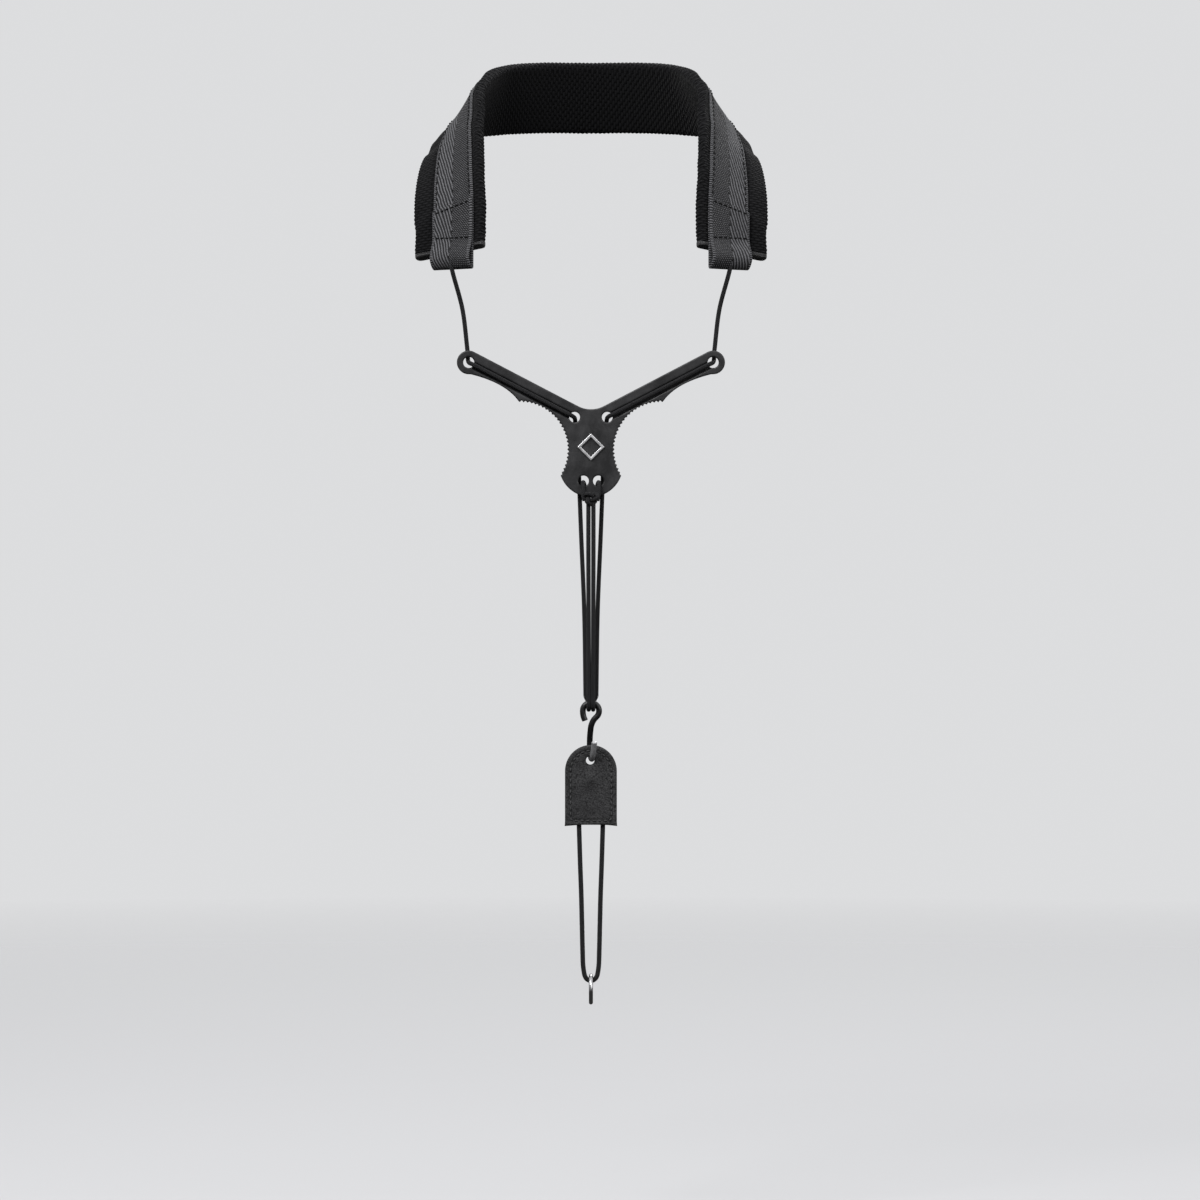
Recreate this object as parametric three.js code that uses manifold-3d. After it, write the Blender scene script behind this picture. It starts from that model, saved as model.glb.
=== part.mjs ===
// Neck strap for a small woodwind instrument: a padded neck band, a sliding yoke on two
// cords, a wire hook, and a leather tab that carries an elastic loop with a metal ring.
//
// Millimetres, +Z up. The wearer faces -Y and the right-hand side of the drawing is +X.
// The origin is the middle of the band's inner face, where it rests on the nape.
// Everything below the band hangs straight down, centred on the plane x = 0.

import * as THREE from 'three';
import { mergeVertices } from 'three/addons/utils/BufferGeometryUtils.js';
import Module from 'manifold-3d';

const manifold = await Module();
manifold.setup();

// ---------------------------------------------------------------- driving dimensions

const GAP = 0.3; // air between two neighbouring pieces

// Neck band: lining, foam, cover and webbing lie on each other, from the skin outwards.
const PAD_WIDTH = 41;
const LINING_THICKNESS = 1.0;
const FOAM_THICKNESS = 3.0;
const COVER_THICKNESS = 0.9;
const COVER_LIFT = 0.5; // air between foam and cover, which the band's twist takes up
const HEM_LENGTH = 3.6;
const WEBBING_WIDTH = 24;
const WEBBING_MIDDLE = -4; // the webbing lies a little nearer to the pad's upper edge
const WEBBING_THICKNESS = 1.3;
const FOLD_LENGTH = 25; // doubled-back end of the webbing, measured from the pad's end
const FOLD_REACH = 6.4; // from the pad's end out to the centre of the fold
const TUNNEL_SEAM = 6.2; // from the pad's end back to the seam that closes the fold
const TUNNEL_HEIGHT = 3.6; // hollow inside the fold, where the cord's stopper knot sits
const ANCHOR_KNOT = { along: 2.8, halfLength: 2.8, halfWidth: 3.2 }; // along: past the pad's end
const SEAM_WIDTH = 0.8;
const SEAM_HEIGHT = 0.5;
const SEAM_LIFT = 0.6; // air under a seam, which bridges the webbing's twist
const EDGE_SEAM_INSET = 2; // from the webbing's edge or cut end to the middle of a seam
const CROSS_SEAM_INSET = 1.5; // from the webbing's edge to the end of a seam across it
const BAND_STEPS = 44;

// Cords
const CORD_DIAMETER = 2.4;
const CORD_RADIUS = CORD_DIAMETER / 2;
const CORD_SIDES = 8;

// Yoke: a flat plate with two arms, measured from the lowest point of its upper edge.
const HANG_Y = -112; // plane in which the yoke, the hook and the tab hang
const YOKE_Z = -179;
const YOKE_THICKNESS = 3.2;
const ARM_RISE_DEG = 27.6;
const CROTCH_RADIUS = 15;
const LUG = { x: 66, z: 25.3, radius: 6.4, hole: 3.0 };
const GRIP = { x: 38.5, z: -21.8, radius: 26.2, teeth: 26, toothHeight: 1.0, fromDeg: 212.7, toDeg: 90 };
const INNER_HOLE = { x: 8.8, z: -4.3, radius: 2.9 };
const LOWER_HOLE = { x: 4.0, z: -38.7, radius: 2.9 };
const YOKE_BOTTOM = -47.4;
const YOKE_BOTTOM_RADIUS = 17.3;
const EMBLEM = { z: -20.5, reach: 7.4, rim: 1.5, thickness: 0.6 }; // reach: centre to corner
const KNOT = { y: -5.4, z: -47.6, halfSize: [3.6, 3.1, 4.4] };

// Hook: bent wire, measured from the middle of the wire at the top of its eye.
const HOOK_Z = -337.5;
const WIRE_DIAMETER = 3.2;
const EYE_RADIUS = 4.4;
const BEND_RADIUS = 5.5;
const HOOK_LENGTH = 30.4; // from the top of the eye to the bottom of the bend
const BIGHT_RADIUS = WIRE_DIAMETER / 2 + CORD_RADIUS + 0.9; // clears the eye's round shoulders
const STRAND_X = 1.35; // half the distance between the two cords at the eye

// Leather tab, measured from the middle of the wire that it hangs on.
const TAB_WIDTH = 28;
const TAB_TOP = 7.6;
const TAB_BOTTOM = -36.1;
const LEATHER_THICKNESS = 0.9;
const FILLER_THICKNESS = 2.4;
const TAB_HOLE = { z: -0.3, radius: 3.0 };
const POCKET = { halfWidth: 8.6, top: -5.2, corner: 3 }; // room for the loop's ends, open below
const STITCH_INSET = 3.0;
const THREAD_DIAMETER = 0.6;
const LOOP_KNOT = { z: -9.2, halfSize: [3.0, 1.2, 3.0] };

// Elastic loop and ring
const LOOP_HINGE = 1.6; // how far below the tab's edge the loop starts to bend
const LOOP_LENGTH = 81.9;
const LOOP_CORD_DIAMETER = 2.6;
const RING_RADIUS = 7.25;
const RING_WIRE_RADIUS = 1.1;

// ---------------------------------------------------------------- materials

const MATERIALS = {
  pad_fabric: new THREE.MeshStandardMaterial({ color: 0x1b1b1e, roughness: 0.95, metalness: 0 }),
  foam: new THREE.MeshStandardMaterial({ color: 0x2a2a2c, roughness: 1.0, metalness: 0 }),
  webbing: new THREE.MeshStandardMaterial({ color: 0x45464b, roughness: 0.8, metalness: 0 }),
  thread: new THREE.MeshStandardMaterial({ color: 0x101012, roughness: 0.7, metalness: 0 }),
  cord: new THREE.MeshStandardMaterial({ color: 0x18181a, roughness: 0.75, metalness: 0 }),
  yoke: new THREE.MeshStandardMaterial({ color: 0x2c2c2e, roughness: 0.55, metalness: 0 }),
  emblem: new THREE.MeshStandardMaterial({ color: 0xe6e6e8, roughness: 0.3, metalness: 0.9 }),
  hook: new THREE.MeshStandardMaterial({ color: 0x161617, roughness: 0.35, metalness: 0.4 }),
  leather: new THREE.MeshStandardMaterial({ color: 0x2b2b2d, roughness: 0.6, metalness: 0 }),
  ring: new THREE.MeshStandardMaterial({ color: 0xb4b6ba, roughness: 0.2, metalness: 1 }),
};

const strap = new THREE.Group();

function addPiece(parent, name, material, geometry) {
  const mesh = new THREE.Mesh(geometry, MATERIALS[material]);
  mesh.name = name;
  parent.add(mesh);
}

function groupAt(parent, x, y, z) {
  const group = new THREE.Group();
  group.position.set(x, y, z);
  parent.add(group);
  return group;
}

// ---------------------------------------------------------------- shape helpers

function solidOf(geometry) {
  const bare = geometry.clone();
  bare.deleteAttribute('normal');
  bare.deleteAttribute('uv');
  const merged = mergeVertices(bare, 1e-5);
  return new manifold.Manifold(new manifold.Mesh({
    numProp: 3,
    vertProperties: new Float32Array(merged.attributes.position.array),
    triVerts: new Uint32Array(merged.index.array),
  }));
}

function geometryOf(solid) {
  const mesh = solid.getMesh();
  const geometry = new THREE.BufferGeometry();
  geometry.setAttribute('position', new THREE.BufferAttribute(new Float32Array(mesh.vertProperties), 3));
  geometry.setIndex(new THREE.BufferAttribute(new Uint32Array(mesh.triVerts), 1));
  return geometry;
}

function vectors(points) {
  return points.map(([x, y, z]) => new THREE.Vector3(x, y, z));
}

function mirrored(points) {
  return points.map(([x, y, z]) => [-x, y, z]);
}

// A round bar of the given diameter along a smooth curve through the points.
function tube(points, diameter, steps, sides = CORD_SIDES) {
  const section = [];
  for (let i = 0; i < sides; i += 1) {
    const angle = (2 * Math.PI * i) / sides;
    section.push(new THREE.Vector2(Math.cos(angle), Math.sin(angle)).multiplyScalar(diameter / 2));
  }
  return new THREE.ExtrudeGeometry(new THREE.Shape(section), {
    steps,
    bevelEnabled: false,
    extrudePath: new THREE.CatmullRomCurve3(vectors(points)),
  });
}

// A plate whose outline is drawn in X and Z, from y = back to y = back - thickness.
function plate(shape, back, thickness, curveSegments = 12) {
  const geometry = new THREE.ExtrudeGeometry(shape, {
    depth: thickness,
    bevelEnabled: false,
    curveSegments,
  });
  geometry.rotateX(Math.PI / 2);
  geometry.translate(0, back, 0);
  return geometry;
}

// A round cutter between two points, a little wider than a cord.
function drill(from, to) {
  const cutter = new THREE.CylinderGeometry(CORD_RADIUS + GAP, CORD_RADIUS + GAP, from.distanceTo(to), 16);
  const direction = to.clone().sub(from).normalize();
  cutter.applyQuaternion(new THREE.Quaternion().setFromUnitVectors(new THREE.Vector3(0, 1, 0), direction));
  cutter.translate(...from.clone().add(to).multiplyScalar(0.5).toArray());
  return cutter;
}

function roundHole(shape, x, z, radius) {
  const hole = new THREE.Path();
  hole.absarc(x, z, radius, 0, 2 * Math.PI, true);
  shape.holes.push(hole);
}

function ellipsoid(halfSize, x, y, z) {
  const geometry = new THREE.SphereGeometry(1, 12, 8);
  geometry.scale(...halfSize);
  geometry.translate(x, y, z);
  return geometry;
}

function pointOnCircle(x, z, radius, angleDeg) {
  const angle = THREE.MathUtils.degToRad(angleDeg);
  return [x + radius * Math.cos(angle), z + radius * Math.sin(angle)];
}

// Points on an arc, both ends included.
function arcPoints(x, z, radius, fromDeg, toDeg, steps) {
  const points = [];
  for (let i = 0; i <= steps; i += 1) {
    points.push(pointOnCircle(x, z, radius, fromDeg + ((toDeg - fromDeg) * i) / steps));
  }
  return points;
}

// ---------------------------------------------------------------- neck band

// Centre line of the band's inner face, from the left end to the nape, and the direction
// from the band's upper edge to its lower edge at each of those points.
const LEFT_ROUTE = [
  { at: [-74.9, -102, -95], across: [-0.9, 0.42, -0.16] },
  { at: [-75.3, -94.8, -73], across: [-0.9, 0.34, -0.26] },
  { at: [-74.8, -84, -52], across: [-0.83, 0.32, -0.44] },
  { at: [-72.2, -67.5, -31.5], across: [-0.7, 0.22, -0.67] },
  { at: [-65.6, -45.5, -14.5], across: [-0.55, 0.14, -0.83] },
  { at: [-46, -15.5, -3.2], across: [-0.31, 0.26, -0.91] },
  { at: [0, 0, 0], across: [0, 0.32, -0.95] },
];

const rightRoute = LEFT_ROUTE.slice(0, -1).reverse().map(({ at, across }) => ({
  at: mirrored([at])[0],
  across: mirrored([across])[0],
}));
const route = [...LEFT_ROUTE, ...rightRoute];
const bandLine = new THREE.CatmullRomCurve3(vectors(route.map(({ at }) => at)), false, 'catmullrom', 0.5);
const bandAcross = new THREE.CatmullRomCurve3(vectors(route.map(({ across }) => across)), false, 'catmullrom', 0.5);
const BAND_LENGTH = bandLine.getLength();
const BAND_END = BAND_LENGTH / 2;

// The point at distance along (from the nape, positive to the right), across (positive
// towards the lower edge) and out (away from the neck). Past its ends the band is straight.
function bandPoint(along, across, out) {
  const onBand = THREE.MathUtils.clamp(along, -BAND_END, BAND_END);
  const t = bandLine.getUtoTmapping(onBand / BAND_LENGTH + 0.5);
  const tangent = bandLine.getTangent(t);
  const width = bandAcross.getPoint(t);
  width.addScaledVector(tangent, -width.dot(tangent)).normalize();
  const outward = new THREE.Vector3().crossVectors(tangent, width);
  return bandLine.getPoint(t)
    .addScaledVector(tangent, along - onBand)
    .addScaledVector(width, across)
    .addScaledVector(outward, out);
}

// A closed piece with one cross-section, given as (across, height) points, that follows a
// list of stations on the band. At a station the section stands on the point (along, out)
// and leans by tilt radians. All quads are split along the same diagonal, so that layers
// that share their stations stay parallel where the band twists.
function bandLoft(stations, section) {
  const vertices = [];
  for (const { along, out = 0, tilt = 0 } of stations) {
    for (const [across, height] of section) {
      const point = bandPoint(along - height * Math.sin(tilt), across, out + height * Math.cos(tilt));
      vertices.push(...point.toArray());
    }
  }
  const count = section.length;
  const faces = [];
  for (let i = 0; i + 1 < stations.length; i += 1) {
    for (let j = 0; j < count; j += 1) {
      const next = (j + 1) % count;
      const [a, b, c, d] = [i * count + j, i * count + next, (i + 1) * count + next, (i + 1) * count + j];
      const rising = section[next][0] > section[j][0];
      faces.push(...(rising ? [a, b, c, a, c, d] : [a, b, d, b, c, d]));
    }
  }
  const lastRing = (stations.length - 1) * count;
  const caps = THREE.ShapeUtils.triangulateShape(section.map(([x, y]) => new THREE.Vector2(x, y)), []);
  for (const [a, b, c] of caps) {
    faces.push(c, b, a);
    faces.push(lastRing + a, lastRing + b, lastRing + c);
  }
  const geometry = new THREE.BufferGeometry();
  geometry.setAttribute('position', new THREE.Float32BufferAttribute(vertices, 3));
  geometry.setIndex(faces);
  return geometry;
}

function evenStations(from, to, steps) {
  return Array.from({ length: steps + 1 }, (_, i) => ({ along: from + ((to - from) * i) / steps }));
}

const WEBBING_UPPER = WEBBING_MIDDLE - WEBBING_WIDTH / 2;
const WEBBING_LOWER = WEBBING_MIDDLE + WEBBING_WIDTH / 2;

// A rectangle whose long sides have a point under each edge of the webbing.
function layerSection(half, bottom, top) {
  return [
    [-half, bottom], [WEBBING_UPPER, bottom], [WEBBING_LOWER, bottom], [half, bottom],
    [half, top], [WEBBING_LOWER, top], [WEBBING_UPPER, top], [-half, top],
  ];
}

function rectangle(left, right, bottom, top) {
  return [[left, bottom], [right, bottom], [right, top], [left, top]];
}

const PAD_HALF = PAD_WIDTH / 2;
const FOAM_HALF = PAD_HALF - COVER_THICKNESS - GAP;
const FOAM_BOTTOM = LINING_THICKNESS + GAP;
const FOAM_TOP = FOAM_BOTTOM + FOAM_THICKNESS;
const COVER_BOTTOM = FOAM_TOP + COVER_LIFT;
const PAD_TOP = COVER_BOTTOM + COVER_THICKNESS;
const PAD_BODY_END = BAND_END - HEM_LENGTH - GAP;
const PAD_STATIONS = evenStations(-PAD_BODY_END, PAD_BODY_END, BAND_STEPS);

function padLining() {
  return bandLoft(PAD_STATIONS, layerSection(FOAM_HALF, 0, LINING_THICKNESS));
}

function padFoam() {
  return bandLoft(PAD_STATIONS, layerSection(FOAM_HALF, FOAM_BOTTOM, FOAM_TOP));
}

// The cover wraps the foam's outer face and both of its long edges.
function padCover() {
  const inner = FOAM_HALF + GAP;
  const section = [
    [-PAD_HALF, 0], [-inner, 0], [-inner, COVER_BOTTOM],
    [WEBBING_UPPER, COVER_BOTTOM], [WEBBING_LOWER, COVER_BOTTOM],
    [inner, COVER_BOTTOM], [inner, 0], [PAD_HALF, 0],
    [PAD_HALF, PAD_TOP], [WEBBING_LOWER, PAD_TOP], [WEBBING_UPPER, PAD_TOP], [-PAD_HALF, PAD_TOP],
  ];
  return bandLoft(PAD_STATIONS, section);
}

// A rolled hem closes each end of the pad. Its side is -1 on the left, +1 on the right.
function padHem(side) {
  const bevel = 1.2;
  const section = [
    [-PAD_HALF, bevel], [-PAD_HALF + bevel, 0], [PAD_HALF - bevel, 0], [PAD_HALF, bevel],
    [PAD_HALF, PAD_TOP - bevel], [PAD_HALF - bevel, PAD_TOP], [-PAD_HALF + bevel, PAD_TOP],
    [-PAD_HALF, PAD_TOP - bevel],
  ];
  const middle = side * (BAND_END - HEM_LENGTH / 2);
  return bandLoft(evenStations(middle - HEM_LENGTH / 2, middle + HEM_LENGTH / 2, 1), section);
}

const WEBBING_OUT = PAD_TOP + GAP + WEBBING_THICKNESS / 2; // middle of the webbing's lower layer
const FOLD_OUT = WEBBING_OUT + WEBBING_THICKNESS + GAP; // middle of its doubled-back layer
const FOLD_TURN = (TUNNEL_HEIGHT + WEBBING_THICKNESS) / 2;
const TUNNEL_OUT = WEBBING_OUT + FOLD_TURN; // middle of the hollow in the fold

// A point on the middle line of the hollow in the fold.
function tunnelPoint(along) {
  return bandPoint(along, WEBBING_MIDDLE, TUNNEL_OUT);
}

// The right-hand fold, from the turn to the cut end of the doubled-back layer.
function foldStations() {
  const turnAt = BAND_END + FOLD_REACH;
  const stations = [];
  for (let i = 0; i <= 8; i += 1) {
    const tilt = (Math.PI * i) / 8;
    const along = turnAt + FOLD_TURN * Math.sin(tilt);
    stations.push({ along, out: TUNNEL_OUT - FOLD_TURN * Math.cos(tilt), tilt });
  }
  stations.push({ along: BAND_END - 0.5, out: TUNNEL_OUT + FOLD_TURN - 0.3, tilt: Math.PI + 0.2 });
  stations.push({ along: BAND_END - 6.0, out: FOLD_OUT, tilt: Math.PI + 0.15 });
  const doubled = PAD_STATIONS.filter(({ along }) => along > BAND_END - FOLD_LENGTH && along < BAND_END - 8);
  for (const { along } of doubled.reverse()) {
    stations.push({ along, out: FOLD_OUT, tilt: Math.PI });
  }
  stations.push({ along: BAND_END - FOLD_LENGTH, out: FOLD_OUT, tilt: Math.PI });
  return stations;
}

// One strip of webbing over the whole pad. Both ends are folded back over a stopper knot
// and leave a hole at the bottom of the fold for the cord.
function webbingStrap() {
  const fold = foldStations();
  const otherFold = fold.map(({ along, out, tilt }) => ({ along: -along, out, tilt: -tilt })).reverse();
  const flat = PAD_STATIONS.map(({ along }) => ({ along, out: WEBBING_OUT, tilt: 0 }));
  const half = WEBBING_THICKNESS / 2;
  const section = rectangle(WEBBING_UPPER, WEBBING_LOWER, -half, half);
  let solid = solidOf(bandLoft([...otherFold, ...flat, ...fold], section));
  for (const side of [-1, 1]) {
    const bottom = side * (BAND_END + FOLD_REACH + FOLD_TURN);
    const cutter = drill(tunnelPoint(bottom - 4), tunnelPoint(bottom + 4));
    solid = solid.subtract(solidOf(cutter));
  }
  return geometryOf(solid);
}

// Stopper knot in the tunnel of the fold.
function anchorKnot(side) {
  const knot = new THREE.SphereGeometry(1, 12, 8);
  const position = knot.attributes.position;
  for (let i = 0; i < position.count; i += 1) {
    const along = side * (BAND_END + ANCHOR_KNOT.along) + ANCHOR_KNOT.halfLength * position.getX(i);
    const across = WEBBING_MIDDLE + ANCHOR_KNOT.halfWidth * position.getY(i);
    const out = TUNNEL_OUT + (TUNNEL_HEIGHT / 2 - GAP) * position.getZ(i);
    position.setXYZ(i, ...bandPoint(along, across, out).toArray());
  }
  return knot;
}

// A row of stitches across the doubled-back webbing, at a distance from the pad's end.
function crossSeam(side, distance) {
  const bottom = FOLD_OUT + WEBBING_THICKNESS / 2 + SEAM_LIFT;
  const middle = side * (BAND_END - distance);
  const section = rectangle(
    WEBBING_UPPER + CROSS_SEAM_INSET,
    WEBBING_LOWER - CROSS_SEAM_INSET,
    bottom,
    bottom + SEAM_HEIGHT,
  );
  return bandLoft(evenStations(middle - SEAM_WIDTH / 2, middle + SEAM_WIDTH / 2, 1), section);
}

// A row of stitches that runs at a distance across the band, between the two folds.
function edgeSeam(middle) {
  const bottom = WEBBING_OUT + WEBBING_THICKNESS / 2 + SEAM_LIFT;
  const section = rectangle(middle - SEAM_WIDTH / 2, middle + SEAM_WIDTH / 2, bottom, bottom + SEAM_HEIGHT);
  return bandLoft(PAD_STATIONS.filter(({ along }) => Math.abs(along) < BAND_END - FOLD_LENGTH - 1), section);
}

addPiece(strap, 'pad_lining', 'pad_fabric', padLining());
addPiece(strap, 'pad_foam', 'foam', padFoam());
addPiece(strap, 'pad_cover', 'pad_fabric', padCover());
addPiece(strap, 'webbing_strap', 'webbing', webbingStrap());
addPiece(strap, 'strap_seam_upper', 'thread', edgeSeam(WEBBING_UPPER + EDGE_SEAM_INSET));
addPiece(strap, 'strap_seam_lower', 'thread', edgeSeam(WEBBING_LOWER - EDGE_SEAM_INSET));

const SIDES = [['left', -1], ['right', 1]];
for (const [word, side] of SIDES) {
  addPiece(strap, `pad_hem_${word}`, 'pad_fabric', padHem(side));
  addPiece(strap, `fold_seam_${word}`, 'thread', crossSeam(side, FOLD_LENGTH - EDGE_SEAM_INSET));
  addPiece(strap, `tunnel_seam_${word}`, 'thread', crossSeam(side, TUNNEL_SEAM));
  addPiece(strap, `anchor_knot_${word}`, 'cord', anchorKnot(side));
}

// ---------------------------------------------------------------- cords above the yoke

const BEHIND_YOKE = YOKE_THICKNESS / 2 + GAP + CORD_RADIUS;
const YOKE_CORD_TOP = LUG.z + LUG.radius;

// From the stopper knot down to the back of the yoke's lug.
function upperCordRoute() {
  const top = tunnelPoint(BAND_END + ANCHOR_KNOT.along + ANCHOR_KNOT.halfLength + GAP);
  const exit = tunnelPoint(BAND_END + FOLD_REACH + FOLD_TURN + 2);
  return [
    top.toArray(),
    exit.toArray(),
    [69.4, HANG_Y + 1.4, -125],
    [LUG.x + 0.7, HANG_Y + BEHIND_YOKE, YOKE_Z + YOKE_CORD_TOP + GAP],
  ];
}

addPiece(strap, 'upper_cord_left', 'cord', tube(mirrored(upperCordRoute()), CORD_DIAMETER, 10));
addPiece(strap, 'upper_cord_right', 'cord', tube(upperCordRoute(), CORD_DIAMETER, 10));

// ---------------------------------------------------------------- yoke

const yoke = groupAt(strap, 0, HANG_Y, YOKE_Z);

// Right half of the plate's outline, from the bottom centre up to the crotch of the arms.
function yokeHalfOutline() {
  const outline = arcPoints(0, YOKE_BOTTOM + YOKE_BOTTOM_RADIUS, YOKE_BOTTOM_RADIUS, -90, -20.3, 6);
  const pitch = (GRIP.toDeg - GRIP.fromDeg) / GRIP.teeth;
  for (let i = 0; i < GRIP.teeth; i += 1) {
    const angle = GRIP.fromDeg + pitch * i;
    outline.push(pointOnCircle(GRIP.x, GRIP.z, GRIP.radius + GRIP.toothHeight / 2, angle + pitch / 2));
    outline.push(pointOnCircle(GRIP.x, GRIP.z, GRIP.radius - GRIP.toothHeight / 2, angle + pitch));
  }
  const lowerEdge = new THREE.QuadraticBezierCurve(
    new THREE.Vector2(GRIP.x + 0.6, GRIP.z + GRIP.radius),
    new THREE.Vector2(46, 14.2),
    new THREE.Vector2(LUG.x - 1.1, LUG.z - LUG.radius),
  );
  outline.push(...lowerEdge.getPoints(6).map(({ x, y }) => [x, y]));
  outline.push(...arcPoints(LUG.x, LUG.z, LUG.radius, -85, 90 + ARM_RISE_DEG, 12));
  outline.push(...arcPoints(0, CROTCH_RADIUS, CROTCH_RADIUS, -90 + ARM_RISE_DEG, -90, 4));
  return outline;
}

function yokePlate() {
  const right = yokeHalfOutline();
  const left = right.slice(1, -1).map(([x, z]) => [-x, z]).reverse();
  const shape = new THREE.Shape([...right, ...left].map(([x, z]) => new THREE.Vector2(x, z)));
  for (const side of [-1, 1]) {
    roundHole(shape, side * LUG.x, LUG.z, LUG.hole);
    roundHole(shape, side * INNER_HOLE.x, INNER_HOLE.z, INNER_HOLE.radius);
    roundHole(shape, side * LOWER_HOLE.x, LOWER_HOLE.z, LOWER_HOLE.radius);
  }
  let solid = solidOf(plate(shape, YOKE_THICKNESS / 2, YOKE_THICKNESS, 8));
  for (const side of [-1, 1]) {
    solid = solid.subtract(solidOf(cordGroove(side)));
  }
  return geometryOf(solid);
}

// The cord lies half sunk in a groove along the front of each arm.
const GROOVE_Y = -YOKE_THICKNESS / 2 - 0.2;

function cordGroove(side) {
  return drill(
    new THREE.Vector3(side * LUG.x, GROOVE_Y, LUG.z),
    new THREE.Vector3(side * INNER_HOLE.x, GROOVE_Y, INNER_HOLE.z),
  );
}

// A plain lozenge with an open centre.
function emblem() {
  const lozenge = (reach) => [[reach, 0], [0, reach], [-reach, 0], [0, -reach]]
    .map(([x, z]) => new THREE.Vector2(x, EMBLEM.z + z));
  const shape = new THREE.Shape(lozenge(EMBLEM.reach));
  shape.holes.push(new THREE.Path(lozenge(EMBLEM.reach - EMBLEM.rim * Math.SQRT2)));
  return plate(shape, -YOKE_THICKNESS / 2 - GAP, EMBLEM.thickness);
}

// Down behind the lug, forward through its hole, along the arm, back through the inner
// hole and down behind the plate.
const ARM_CORD_ROUTE = [
  [LUG.x + 0.7, BEHIND_YOKE, YOKE_CORD_TOP],
  [LUG.x + 0.6, BEHIND_YOKE, LUG.z + 3.6],
  [LUG.x + 0.4, 2.1, LUG.z + 1.1],
  [LUG.x - 0.3, 0, LUG.z - 0.2],
  [LUG.x - 2.3, GROOVE_Y - 0.2, LUG.z - 1.2],
  [LUG.x - 8.9, GROOVE_Y, LUG.z - 4.6],
  [(LUG.x + INNER_HOLE.x) / 2, GROOVE_Y, (LUG.z + INNER_HOLE.z) / 2],
  [INNER_HOLE.x + 8.9, GROOVE_Y, INNER_HOLE.z + 4.6],
  [INNER_HOLE.x + 2.6, GROOVE_Y - 0.2, INNER_HOLE.z + 1.3],
  [INNER_HOLE.x + 0.5, -0.4, INNER_HOLE.z + 0.1],
  [INNER_HOLE.x - 0.1, 1.7, INNER_HOLE.z - 0.7],
  [INNER_HOLE.x - 0.4, BEHIND_YOKE, INNER_HOLE.z - 3.0],
  [7.2, BEHIND_YOKE, -17],
  [6.6, BEHIND_YOKE, -32],
  [6.1, BEHIND_YOKE, -46.8],
];
const STRAND_TOP = [6.1, BEHIND_YOKE, -46.8 - GAP];

// The end of each cord: out of the knot, up the front, back through the lower hole, down
// behind the plate's rim and forward into the knot again.
const TAIL_ROUTE = [
  [2.3, -4.6, -43.1],
  [3.2, -3.2, -41.4],
  [3.8, -1.5, -39.5],
  [3.9, 0, -39.1],
  [3.8, 1.5, -39.5],
  [3.4, 2.9, -41.0],
  [3.2, BEHIND_YOKE, -43.6],
  [2.7, BEHIND_YOKE, -47.4],
  [2.2, 1.4, -49.7],
  [1.9, -0.8, -50.0],
  [1.8, -2.2, -49.6],
];

addPiece(yoke, 'yoke_plate', 'yoke', yokePlate());
addPiece(yoke, 'yoke_emblem', 'emblem', emblem());
addPiece(yoke, 'cord_knot', 'cord', ellipsoid(KNOT.halfSize, 0, KNOT.y, KNOT.z));
addPiece(yoke, 'arm_cord_left', 'cord', tube(mirrored(ARM_CORD_ROUTE), CORD_DIAMETER, 46));
addPiece(yoke, 'arm_cord_right', 'cord', tube(ARM_CORD_ROUTE, CORD_DIAMETER, 46));
addPiece(yoke, 'tail_cord_left', 'cord', tube(mirrored(TAIL_ROUTE), CORD_DIAMETER, 20));
addPiece(yoke, 'tail_cord_right', 'cord', tube(TAIL_ROUTE, CORD_DIAMETER, 20));

// ---------------------------------------------------------------- strands and hook

// From the yoke down to the bights: the outer strands run behind, the inner ones in front.
const BIGHT_TOP = HOOK_Z - YOKE_Z + 3.5;
const OUTER_STRAND_ROUTE = [
  STRAND_TOP,
  [5.2, BIGHT_RADIUS, -70],
  [3.3, BIGHT_RADIUS, -110],
  [STRAND_X, BIGHT_RADIUS, BIGHT_TOP + GAP],
];
const INNER_STRAND_ROUTE = [
  [STRAND_X, KNOT.y + 0.3, KNOT.z - KNOT.halfSize[2] - 0.1],
  [STRAND_X, -4.6, -80],
  [STRAND_X, -3.9, -115],
  [STRAND_X, -BIGHT_RADIUS, BIGHT_TOP + GAP],
];

// The cord turns under the top wire of the eye.
const BIGHT_ROUTE = [
  [STRAND_X, BIGHT_RADIUS, 3.5],
  ...arcPoints(0, 0, BIGHT_RADIUS, 0, -180, 8).map(([y, z]) => [STRAND_X, y, z]),
  [STRAND_X, -BIGHT_RADIUS, 3.5],
];

// Nearly closed eye at the top, a shank that steps back behind the tab, and a bend that comes
// forward through the tab's hole and ends in an upturned tip.
function hookRoute() {
  const eye = arcPoints(0, -EYE_RADIUS, EYE_RADIUS, 165, -30, 7).map(([x, z]) => [x, 0, z]);
  const bend = arcPoints(0, BEND_RADIUS - HOOK_LENGTH, BEND_RADIUS, 0, -180, 8).map(([y, z]) => [0, y, z]);
  return [
    [-3.1, 0, -9.7],
    [-4.1, 0, -7.0],
    ...eye,
    [1.5, 0.2, -9.3],
    [0.4, 0.9, -12.2],
    [0, 2.4, -15.6],
    [0, 4.4, -19.6],
    ...bend,
    [0.8, -BEND_RADIUS - 1.2, -21.6],
  ];
}

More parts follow.
